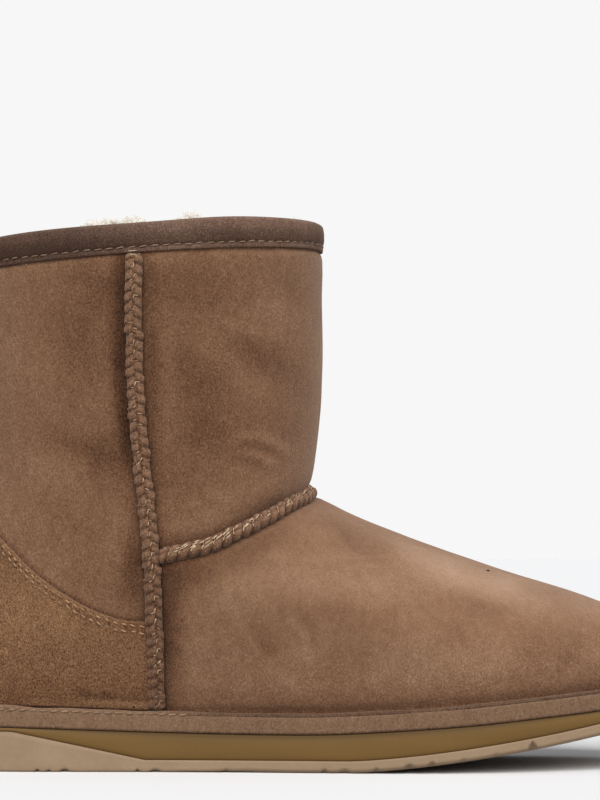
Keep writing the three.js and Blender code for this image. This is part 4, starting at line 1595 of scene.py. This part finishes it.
@dataclass
class Welt:
    """Suede rand strip round the upper, with a lip above its row of stitches."""

    boot: Boot
    columns: int = 512
    groove_height: float = 6.2
    stitch_pitch: float = 3.7
    stitch_length: float = 2.9
    stitch_thickness: float = 0.85

    def section(self) -> Array:
        """Returns the strip's section: inset from the outline and height above the deck."""
        high, groove = self.boot.shape.welt_height, self.groove_height
        inner = self.boot.shape.welt_thickness
        return np.array([
            (0.5, 0.1), (0.1, 0.16), (0.0, 0.5), (0, 1.5), (0, 2.8), (0.03, 4.2), (0.12, groove - 0.7),
            (0.3, groove - 0.25), (0.5, groove), (0.46, groove + 0.2), (0.34, groove + 0.45), (0.42, groove + 0.8),
            (0.6, high), (1.0, high + 0.25), (1.7, high + 0.35), (2.3, high + 0.2), (inner, high - 0.2), (inner, 0.1),
        ])

    def build(self) -> Piece:
        """Returns the strip."""
        shape = self.boot.shape
        section = self.section()
        closed = np.vstack([section, section[:1]])
        marks = np.linspace(0, 1, len(closed))
        rows = 2 * (len(closed) - 1)

        def place(u: Array, v: Array) -> Array:
            lap = self.boot.laps(u)
            inset, height = (np.interp(v, marks, closed[:, axis]) for axis in range(2))
            near = np.minimum(lap, 4 - lap)
            fade = held(near * 5)
            wave = fade * (0.12 * np.sin(lap * 53) * np.sin(lap * 17.3) + 0.08 * np.sin(lap * 131 + 2))
            outside = inset < 2.5
            rear = held((0.62 - near) * 3)
            height = height + (0.9 * rear - 0.5 * (1 - rear)) * (height > 6)
            plan = shape.outline_at(lap, inset + wave * outside * held(height / 4))[0]
            base = shape.outline_at(lap, 0)[0]
            lift = 0.22 * fade * np.sin(lap * 31 + 1) * np.sin(lap * 7.7) * (height > 6)
            return shape.world(np.column_stack([plan, shape.deck(base[:, 0]) + height + lift]))

        def tone(u: Array, v: Array) -> Array:
            height, lap = np.interp(v, marks, closed[:, 1]), self.boot.laps(u)
            sewn = held((1.1 - np.minimum(lap, 4 - lap)) * 8)
            lip = height > self.groove_height + 0.3
            return lip * mix(-0.5, 0.05, sewn) + 0.08 * sewn - 0.1 * bell(height - 0.3, 0.6) - 0.05

        def shade(u: Array, v: Array) -> Array:
            height = np.interp(v, marks, closed[:, 1])
            # painted shade in the stitch groove and along the joint with the midsole
            return held(bell(height - self.groove_height, 0.3) * 0.3 + bell(height - 0.3, 0.3))

        return wrapped("welt_strip", self.columns, rows, place, tone=tone, shade=shade)

    def stitches(self) -> Piece:
        """Returns the sewn ridges that show behind the side seams; before them the lip covers the row."""
        shape = self.boot.shape
        rng = np.random.default_rng(21)
        laps = np.linspace(0, 4, 2400)
        plan, outward = shape.outline_at(laps, 0.3)
        line = np.column_stack([plan, shape.deck(plan[:, 0]) + self.groove_height])
        points, along, share = evenly(line, self.stitch_pitch)
        ways = np.column_stack([between(share, np.linspace(0, 1, len(laps)), outward), share * 0])
        along[:, 2] += 0.12
        points = points + rng.normal(0, 0.06, points.shape)
        rear = np.abs(share * 4 - 2) > 0.95
        points, along, ways = points[rear], along[rear], ways[rear]
        spots = Spots(shape.world(points), along, ways)
        return repeated("welt_stitches", [stitch_master(self.stitch_length, self.stitch_thickness, 0.14)], spots)

    def dress(self, suede: Material, thread: Material) -> None:
        """Builds strip and stitches and gives them their finishes."""
        dress(self.build(), Slot.WELT, suede, "welt")
        dress(self.stitches(), Slot.WELT, thread)


@dataclass
class Sole:
    """Foam midsole with softened edges, and the lugged outsole."""

    boot: Boot
    columns: int = 320
    tread_columns: int = 704
    bulge: float = 0.35
    joint: float = 0.02
    lug_pitch: float = 10.4
    lug_width: float = 3.0
    lug_depth: float = 1.7
    rim: float = 5.0
    zones: tuple[tuple[float, float], ...] = ((20, 86), (146, 240))
    notches: tuple[tuple[float, float, float], ...] = (
        (47.0, 1.1, 0.9), (50.8, 0.9, 0.8), (56.4, 2.2, 0.9), (81.5, 1.0, 0.9), (87.7, 2.6, 0.8), (112, 1.2, 0.5),
        (145.7, 1.1, 0.9), (152.6, 2.3, 0.8), (163.3, 1.2, 0.8), (174.6, 2.0, 1.1), (182.2, 1.2, 1.1),
        (192.9, 1.0, 0.7), (204, 1.4, 0.4), (216.7, 1.5, 2.3), (246, 1.0, 0.6),
    )

    def midsole(self) -> Piece:
        """Returns the midsole: spine, underside, side, top and spine again."""
        shape = self.boot.shape
        inset = [1, 0.5, 0.5, 0, 0, 0, 0, 0, 0, 0, 0, 0, 0.5, 1]
        shares = [0, 0, 0, 0, 0.05, 0.15, 0.35, 0.5, 0.65, 0.85, 0.95, 1, 1, 1]
        tucks = [0, 0, 3, 0.7, 0.2, 0, 0, 0, 0, 0, 0.15, 0.6, 3, 0]
        count = len(shares) - 1
        marks = np.linspace(0, 1, count + 1)

        def place(u: Array, v: Array) -> Array:
            lap = self.boot.laps(u)
            part, share, tuck = (np.interp(v, marks, values) for values in (inset, shares, tucks))
            edge = shape.outline_at(lap, tuck * (part < 0.45) - self.bulge * np.sin(math.pi * share))[0]
            plan = edge + scaled(self.spine(lap) - edge, part)
            low = shape.band(plan[:, 0]) + self.joint
            return shape.world(np.column_stack([plan, mix(low, shape.deck(plan[:, 0]), share)]))

        def tone(u: Array, v: Array) -> Array:
            share = np.interp(v, marks, shares)
            # painted shade: darker toward the top, strongest just under the welt
            return -0.9 * held((share - 0.72) / 0.28) ** 2 - 0.1 * held(share - 0.3)

        return wrapped("midsole_foam", self.columns, count * 2, place, tone=tone)

    def spine(self, lap: Array) -> Array:
        """Returns the points of the middle line that the columns of both sides share."""
        shape = self.boot.shape
        march = shape.side_of(lap)[1]
        x = shape.outline_at(march, 0)[0][:, 0]
        end = 0.16 * shape.length
        return np.column_stack([np.clip(x, end, shape.length - end), x * 0])

    def relief(self, plan: Array, inset: Array) -> Array:
        """Returns how deep the tread is cut at points of the underside.

        Args:
            plan: Points in plan.
            inset: Their lengths from the rim.

        Returns:
            Depths upward.
        """
        x, y = plan[:, 0], plan[:, 1]
        wave = 1.6 * np.abs(np.mod(y / 13, 2) - 1)
        cut = np.zeros(len(x))
        for start, end in self.zones:
            inside = held((x - start + 3) / 2) * held((end - x + 3) / 2)
            count = round((end - start) / self.lug_pitch)
            pitch = (end - start) / count
            gap = np.abs(np.mod(x - start + wave + pitch / 2, pitch) - pitch / 2)
            cut = np.maximum(cut, inside * held((self.lug_width / 2 + 0.4 - gap) / 0.8))
        lugs = self.lug_depth * cut * held((inset - self.rim) / 1.0)
        rim = np.zeros(len(x))
        for place, half, depth in self.notches:
            shift = np.where(y > 0, 3.7, 0)
            rim += depth * held(1.25 * (1 - np.abs(x - place - shift) / half))
        return lugs + rim * held((3.2 - inset) / 1.2)

    def outsole(self) -> Piece:
        """Returns the outsole: lugs inside a plain rim, worn notches in the rim, and the wedge at the heel."""
        shape = self.boot.shape
        under, corner, side = 40, 4, 7
        marks = np.cumsum([0, under, corner, side, 2, 4])
        total = int(marks[-1])

        def place(u: Array, v: Array) -> Array:
            lap, step = self.boot.laps(u), v * total
            middle = self.spine(lap)
            rim = shape.outline_at(lap, 0)[0]
            width = np.linalg.norm(rim - middle, axis=1)
            round_share = held((step - marks[1]) / corner)
            back = 1.2 + 2.2 * held((rim[:, 0] - 106) / 14)
            tuck = back * (1 - np.sin(round_share * math.pi / 2))
            under_share = held(step / marks[1])
            inset = np.where(step <= marks[1], back + (width - back) * (1 - under_share) ** 1.4, tuck)
            top_share = held((step - marks[4]) / 4)
            inset = np.where(step > marks[3], 0.3 * held((step - marks[3]) / 2) + (width - 0.3) * top_share, inset)
            plan = rim + scaled(middle - rim, inset / np.maximum(width, 1e-6))
            ground, band = shape.ground(plan[:, 0]), shape.band(plan[:, 0])
            lift = (0.7 + 0.2 * back) * (1 - np.cos(round_share * math.pi / 2))
            rise = held((step - marks[2]) / side)
            z = ground + lift + (band - 0.25 - ground - lift) * rise
            z = np.where(step > marks[3], band - 0.25 * (1 - held((step - marks[3]) / 2)), z)
            z += np.where(rise < 0.5, self.relief(plan, inset) * (1 - 2 * np.minimum(rise, 0.5)), 0)
            return shape.world(np.column_stack([plan, np.minimum(z, band)]))

        return wrapped("outsole_tread", self.tread_columns, total, place)

    def dress(self, foam: Material, rubber: Material) -> None:
        """Builds both layers and gives them their finishes."""
        dress(self.midsole(), Slot.MIDSOLE, foam, "midsole")
        dress(self.outsole(), Slot.OUTSOLE, rubber, "outsole")


@dataclass
class Fleece:
    """Sheepskin inside the boot: a lumpy pile, curls over it, tufts above the rim and the footbed."""

    boot: Boot
    columns: int = 240
    rows: int = 70
    pile: float = 5.0
    lump: float = 2.2
    lump_size: float = 6.5
    curls: int = 2600
    tufts: int = 1500
    homes: tuple[float, ...] = (0.85, 0.88, 0.91, 0.985, 1.01, 1.19, 1.21)
    hairs: int = 500

    def depth(self, points: Array, height: float, size: float) -> Array:
        """Returns the pile's lumps at points."""
        return np.array([height * noise.turbulence(Vector(p) / size, 2, True) for p in points])

    def lining(self) -> Piece:
        """Returns the pile on the inner wall, closed at the back by the wall itself."""
        shape = self.boot.shape
        high, low, half, back = 2.955, 1.12, self.rows // 2, self.rows // 4
        marks = np.cumsum([0, half, self.rows - half, 1, back, back, 1])
        total = int(marks[-1])
        levels = [high, 2, low, low, 2, high, high]

        def place(u: Array, v: Array) -> Array:
            lap, level = self.boot.laps(u), np.interp(v * total, marks, levels)
            base = shape.skin(lap, level)
            normal = shape.normal(lap, level)
            inside = (v * total <= self.rows) | (v > 0.9999)
            taper = held((2.955 - level) * 12 + 0.35)
            thick = np.where(inside, self.pile * taper + self.depth(base, self.lump, self.lump_size), 0)
            return shape.world(base - scaled(normal, shape.wall + 1.7 + thick))

        return wrapped("fleece_lining", self.columns, total, place)

    def clump_masters(self) -> list[Piece]:
        """Returns three small lumpy clumps of wool."""
        masters = []
        for number in range(3):
            def place(u: Array, v: Array) -> Array:
                turn, tilt = u * 2 * math.pi, (v - 0.5) * math.pi
                ball = np.column_stack([np.cos(turn) * np.cos(tilt), np.sin(turn) * np.cos(tilt), np.sin(tilt)])
                lump = np.array([noise.noise(Vector(p) * 2.3 + Vector((number * 9, 0, 0))) for p in ball])
                return scaled(ball, 1.5 * (1 + 0.9 * lump)) * np.array([1, 0.8, 0.75]) * MM

            masters.append(wrapped(f"clump_{number}", 9, 6, place))
        return masters

    def curl_masters(self) -> list[Piece]:
        """Returns three woolly curls: tapered locks that coil over."""
        masters = []
        for number, (turns, radius, height) in enumerate(((1.1, 1.0, 2.6), (0.8, 1.3, 2.2), (1.35, 0.8, 3.0))):
            def place(u: Array, v: Array) -> Array:
                angle = v * turns * 2 * math.pi
                ring = u * 2 * math.pi
                thick = 0.5 * (1 - 0.75 * v) * (v > 0.001) * (v < 0.999)
                around = radius * (0.4 + 0.6 * v)
                middle = np.column_stack([around * np.cos(angle) - radius * 0.4, around * np.sin(angle), height * v])
                out = np.column_stack([np.cos(angle), np.sin(angle), angle * 0])
                up = np.column_stack([angle * 0, angle * 0, angle * 0 + 1])
                return (middle + scaled(out, thick * np.cos(ring)) + scaled(up, thick * np.sin(ring))) * MM

            masters.append(wrapped(f"curl_{number}", 4, 6, place))
        return masters

    def curled(self) -> Piece:
        """Returns the curls that show at the mouth of the boot and down the shaft."""
        shape = self.boot.shape
        rng = np.random.default_rng(8)
        lap = rng.uniform(0, 4, self.curls)
        level = 2.975 - 1.25 * rng.uniform(0, 1, self.curls) ** 1.5
        base, normal = shape.skin(lap, level), shape.normal(lap, level)
        depth = shape.wall + 1.7 + self.pile * held((2.955 - level) * 12 + 0.3)
        points = base - scaled(normal, depth + rng.uniform(-0.5, 1.2, self.curls))
        along = rng.normal(0, 1, points.shape)
        outward = -normal + rng.normal(0, 0.45, points.shape)
        spots = Spots(shape.world(points), along, outward, rng.uniform(0.8, 1.5, self.curls))
        return repeated("fleece_curls", self.curl_masters(), spots)

    def over_rim(self, rng: np.random.Generator, count: int, low: float, high: float) -> Array:
        """Returns points just inside the rim: in tufts by the outer side seam, lower all round."""
        shape = self.boot.shape
        gathered = rng.uniform(0, 1, count) < 0.5
        tufts = rng.choice(self.homes, count) + rng.normal(0, 0.017, count)
        lap = np.where(gathered, tufts, rng.uniform(0, 4, count))
        normal = shape.normal(lap, 3.0)
        points = shape.collar(lap)[0] - scaled(normal, shape.wall + 1.0 + rng.uniform(0, 5, count))
        rise = rng.uniform(low, high, count) * rng.uniform(0.3, 1, count)
        points[:, 2] += shape.binding_thickness + np.where(gathered, rise, 0.5 * rise - 1.3)
        return points

    def rim_hairs(self) -> Piece:
        """Returns the fine hairs that stand out of the tufts."""
        shape = self.boot.shape
        rng = np.random.default_rng(19)
        points = self.over_rim(rng, self.hairs, 0.5, 3.4)
        along = np.column_stack([rng.normal(0, 1, (self.hairs, 2)), rng.uniform(0.2, 1.2, self.hairs)])
        outward = rng.normal(0, 1, points.shape)
        spots = Spots(shape.world(points), along, outward, rng.uniform(0.6, 1.2, self.hairs))
        return repeated("fleece_hairs", [stitch_master(2.2, 0.2, 0.35)], spots)

    def rim_tufts(self) -> Piece:
        """Returns the tufts that stand a little above the rim, thickest over the side seam."""
        shape = self.boot.shape
        rng = np.random.default_rng(14)
        points = self.over_rim(rng, self.tufts, -1.4, 2.2)
        outward = np.column_stack([rng.normal(0, 0.5, (self.tufts, 2)), np.full(self.tufts, 1.0)])
        along = rng.normal(0, 1, points.shape)
        spots = Spots(shape.world(points), along, outward, rng.uniform(0.35, 0.8, self.tufts))
        return repeated("fleece_tufts", self.clump_masters(), spots)

    def footbed(self) -> Piece:
        """Returns the fleece footbed inside the foot."""
        shape = self.boot.shape
        inset = shape.welt_thickness + 2 * shape.clearance + shape.wall
        count = 36
        spine = 0.16 * shape.length

        def place(u: Array, v: Array) -> Array:
            lap = self.boot.laps(u)
            part = np.interp(v * count, [0, 9, count - 1, count], [1, 0, 1, 1])
            high = np.interp(v * count, [0, 9, count - 1, count], [0, 1, 1, 0])
            edge = shape.outline_at(lap, inset)[0]
            middle = np.column_stack([np.clip(edge[:, 0], spine, shape.length - spine), edge[:, 1] * 0])
            plan = edge + scaled(middle - edge, part)
            base = shape.deck(plan[:, 0]) + shape.clearance
            points = np.column_stack([plan, base + (shape.insole - 1.5) * high])
            points[:, 2] += high * self.depth(points, 1.5, 5)
            return shape.world(points)

        return wrapped("fleece_footbed", 200, count, place)

    def dress(self, wool: Material, tips: Material) -> None:
        """Builds the fleece and gives it its finishes."""
        dress(self.lining(), Slot.FLEECE, wool)
        dress(self.curled(), Slot.FLEECE, wool)
        dress(self.rim_tufts(), Slot.FLEECE, tips)
        dress(self.rim_hairs(), Slot.FLEECE, tips)
        dress(self.footbed(), Slot.FLEECE, wool, "insole")


@dataclass(frozen=True)
class Bit:
    """A bit of thread, a speck, or a dark dot of painted shade on the outer side: its place, length, thickness, turn in
    degrees and lift.
    """

    x: float
    z: float
    length: float
    thickness: float
    turn: float
    lift: float = 0.2


@dataclass
class SmallMarks:
    """Loose thread ends and specks, dark dots of painted shadow just under them, and a pinhole drawn as a dark dot of
    painted shade, where the photograph has them.
    """

    boot: Boot
    pale: tuple[Bit, ...] = (
        Bit(103.6, 182.2, 4.4, 0.5, -3, 0.5), Bit(107.0, 182.5, 3.0, 0.4, 9, 0.5), Bit(41.4, 176.2, 2.2, 0.4, 55),
        Bit(43.0, 176.4, 2.4, 0.4, -50), Bit(42.4, 175.0, 1.6, 0.4, 85), Bit(55.0, 178.2, 3.2, 0.4, 8),
        Bit(57.4, 178.6, 2.2, 0.35, -6), Bit(80.0, 178.9, 3.4, 0.34, 5, 2.8), Bit(80.4, 177.3, 2.6, 0.3, -9, 2.8),
        Bit(203.2, 69.9, 0.9, 0.35, 20), Bit(169.8, 64.7, 0.9, 0.3, 35),
    )
    # dark dots of painted shadow under the thread ends and the speck, and the pinhole's painted shade
    dark: tuple[Bit, ...] = (
        Bit(104.8, 181.4, 6.2, 0.8, 2, 0.0), Bit(110.0, 181.9, 2.6, 0.5, -12, 0.0), Bit(203.8, 69.2, 1.5, 0.6, 15, 0.0),
        Bit(80.4, 22.8, 1.4, 1.3, 0, 0.3), Bit(56.2, 177.7, 2.6, 0.5, 5, 0.0),
    )

    def build(self, name: str, bits: tuple[Bit, ...]) -> Piece:
        """Returns bits joined into one piece."""
        shape, boot = self.boot.shape, self.boot
        laps, levels = (grid.ravel() for grid in np.meshgrid(np.linspace(0.3, 1.9, 480), np.linspace(1, 2.93, 480)))
        skin = shape.skin(laps, levels)
        points, along, outward, sizes = [], [], [], []
        for bit in bits:
            at = np.argmin((skin[:, 0] - bit.x) ** 2 + (skin[:, 2] - bit.z) ** 2)
            lap, level = laps[at : at + 1], levels[at : at + 1]
            points.append(boot.suede_point(lap, level, bit.lift)[0])
            turn = math.radians(bit.turn)
            along.append((math.cos(turn), 0, math.sin(turn)))
            outward.append(shape.normal(lap, level)[0])
            sizes.append((bit.length, bit.thickness, bit.thickness))
        master = stitch_master(1, 1, 0.12)
        spots = Spots(shape.world(np.array(points)), np.array(along), np.array(outward), np.array(sizes))
        return repeated(name, [master], spots)

    def dress(self, pale: Material, dark: Material) -> None:
        """Builds the marks and gives them their finishes."""
        dress(self.build("thread_ends", self.pale), Slot.THREAD, pale)
        # the dark bits are painted shadow and painted shade
        dress(self.build("painted_shadows_and_pinhole", self.dark), Slot.SUEDE, dark)


@dataclass
class Studio:
    """Pale floor, soft light and the camera at the photograph's angle."""

    distance: float = 1.1
    height: float = 0.075
    aim: float = 0.130
    lens: float = 138.42
    background: Colour = (247, 247, 247)
    floor: tuple[float, float, float] = (0.83, 0.838, 0.85)
    floor_bounce: float = 0.36
    surround: float = 0.2

    def camera(self) -> None:
        """Sets the camera to the photograph's view."""
        data = bpy.data.cameras.new("camera")
        data.lens = self.lens
        data.sensor_width = 36.0
        camera = bpy.data.objects.new("camera", data)
        camera.location = (0, -self.distance, self.height)
        camera.rotation_euler = (math.pi / 2 + math.atan2(self.aim - self.height, self.distance), 0, 0)
        bpy.context.scene.collection.objects.link(camera)
        bpy.context.scene.camera = camera

    def sun(
        self, name: str, toward: tuple[float, float, float], strength: float, spread: float, colour: Colour,
        floor_only: bool = False,
    ) -> None:
        """Adds a soft lamp for the boot or for the floor.

        Args:
            name: Name of the lamp.
            toward: Where it stands, seen from the boot.
            strength: Its strength.
            spread: How wide it looks, in degrees.
            colour: Its colour.
            floor_only: Whether it lights the floor alone, or everything but the floor.
        """
        data = bpy.data.lights.new(name, "SUN")
        data.energy = strength
        data.angle = math.radians(spread)
        data.color = linear(colour)[:3]
        lamp = bpy.data.objects.new(name, data)
        lamp.rotation_euler = Vector(toward).to_track_quat("Z", "Y").to_euler()
        bpy.context.scene.collection.objects.link(lamp)
        lit = bpy.data.collections.new(name + "_lights")
        lit.objects.link(bpy.data.objects["floor"])
        lit.collection_objects[0].light_linking.link_state = "INCLUDE" if floor_only else "EXCLUDE"
        lamp.light_linking.receiver_collection = lit

    def world(self) -> None:
        """Sets a white backdrop that lights the boot more softly than it shows."""
        world = bpy.data.worlds.new("studio")
        world.use_nodes = True
        tree = world.node_tree
        light = tree.nodes["Background"]
        light.inputs["Color"].default_value = (1, 1, 1, 1)
        light.inputs["Strength"].default_value = self.surround
        shown = tree.nodes.new("ShaderNodeBackground")
        shown.inputs["Color"].default_value = linear(self.background)
        path = tree.nodes.new("ShaderNodeLightPath")
        blend = tree.nodes.new("ShaderNodeMixShader")
        tree.links.new(path.outputs["Is Camera Ray"], blend.inputs["Fac"])
        tree.links.new(light.outputs[0], blend.inputs[1])
        tree.links.new(shown.outputs[0], blend.inputs[2])
        tree.links.new(blend.outputs[0], tree.nodes["World Output"].inputs["Surface"])
        bpy.context.scene.world = world

    def ground(self) -> None:
        """Adds the floor."""
        deselect()
        bpy.ops.mesh.primitive_circle_add(vertices=64, radius=40.0, fill_type="NGON")
        floor = bpy.context.object
        floor.name = "floor"
        floor.data.materials.append(self.paper())

    def paper(self) -> Material:
        """Returns the floor's paper, which throws less light on the boot than it shows."""
        paper = bpy.data.materials.new("floor_paper")
        paper.use_nodes = True
        tree = paper.node_tree
        tree.nodes.clear()
        blend = tree.nodes.new("ShaderNodeMixShader")
        path = tree.nodes.new("ShaderNodeLightPath")
        out = tree.nodes.new("ShaderNodeOutputMaterial")
        tree.links.new(path.outputs["Is Camera Ray"], blend.inputs["Fac"])
        for slot, value in ((1, [self.floor_bounce] * 3), (2, self.floor)):
            matte = tree.nodes.new("ShaderNodeBsdfDiffuse")
            matte.inputs["Color"].default_value = (*value, 1)
            tree.links.new(matte.outputs[0], blend.inputs[slot])
        tree.links.new(blend.outputs[0], out.inputs["Surface"])
        return paper

    def build(self) -> None:
        """Sets up the whole studio."""
        scene = bpy.context.scene
        scene.view_settings.view_transform = "Standard"
        scene.view_settings.look = "None"
        self.camera()
        self.world()
        self.ground()
        self.sun("key", (-0.12, -1.0, 0.75), 1.7, 60, (255, 254, 252))
        self.sun("top", (0.1, 0.1, 1.0), 1.75, 110, (255, 254, 252))
        self.sun("toe_side", (1.0, -0.3, 0.4), 0.4, 70, (250, 252, 255))
        self.sun("floor_key", (-0.1, -1.0, 0.5), 5.68, 44, (255, 254, 253), floor_only=True)
        self.sun("floor_back", (0.0, 0.0, 1.0), 0.3, 100, (252, 252, 255), floor_only=True)


def main() -> None:
    """Builds the boot piece by piece, then the studio."""
    logging.basicConfig(level=logging.INFO, format="%(name)s: %(message)s")
    Studio().build()
    boot = Boot()
    suede = SuedeFinish(
        "suede_chestnut", (62, 38, 25), (106, 73, 52), (141, 105, 79), (184, 150, 124), grain_size=0.7, mapped=True
    ).build()
    grainy = SuedeFinish(
        "suede_counter", (52, 31, 19), (94, 63, 41), (132, 94, 66), (176, 136, 99), grain=1.05, grain_size=0.5
    ).build()
    welt_suede = SuedeFinish(
        "suede_welt", (68, 48, 37), (111, 84, 65), (138, 108, 84), (168, 139, 116), grain=0.62, blots=0.12
    ).build()
    seam_suede = SuedeFinish(
        "suede_seam", (54, 34, 24), (104, 73, 54), (148, 112, 87), (190, 155, 128), grain=0.7
    ).build()
    thread = ThreadFinish("thread_tan", (124, 93, 66), (204, 166, 126)).build()
    bright = ThreadFinish("thread_bright", (132, 100, 74), (232, 203, 168), 0.38).build()
    cream = ThreadFinish("thread_cream", (160, 128, 96), (244, 220, 186), 0.35).build()
    dull = ThreadFinish("thread_dull", (104, 80, 62), (172, 140, 114)).build()
    edging = ThreadFinish("thread_edging", (126, 98, 74), (168, 138, 110)).build()
    Upper(boot).dress(suede)
    HeelCounter(boot).dress(grainy, thread)
    CollarBinding(boot).dress(BindingFinish().build(), dull)
    top = float(boot.shape.under_rim(np.array([1.0]), boot.shape.binding_depth + 0.1)[0])
    for side, lap, drift, seed in (("outer", 1.0, -0.38, 3), ("inner", 3.0, 0.38, 9)):
        BraidedSeam(
            boot, f"side_braid_{side}", f"side_seam_{side}", (lap, lap), (1.005, top), drift=drift, seed=seed,
            low_darkening=0.16, glints=0.62,
        ).dress(seam_suede, bright)
    BraidedSeam(
        boot, "vamp_braid", "vamp_seam", (1.03, 2.97), (2.0, 2.0), half_width=2.8, half_height=2.4, lift=0.8,
        thread_side=0.45, twist=-0.4, lag=0.0, stagger=0.0, pitch=4.0, pinch=0.9, seed=17, thread=0.4, glints=1.0,
        reach=0.6, strands=4, lower=0.45,
    ).dress(seam_suede, cream)
    Welt(boot).dress(welt_suede, edging)
    Sole(boot).dress(FoamFinish().build(), RubberFinish().build())
    # paler copy of the fleece finish with a little glow, which is painted light on the tufts and hairs over the rim
    tips = FleeceFinish("fleece_tips", (206, 196, 182), (232, 225, 214), (246, 242, 235), 0.15).build()
    Fleece(boot).dress(FleeceFinish().build(), tips)
    pale = ThreadFinish("thread_end", (160, 138, 116), (222, 204, 182), 0.6).build()
    # near-black finish for the dots of painted shadow and the pinhole's painted shade
    SmallMarks(boot).dress(pale, ThreadFinish("painted_shadow_dark", (34, 24, 20), (64, 48, 40), 0.9).build())


if __name__ == "__main__":
    main()
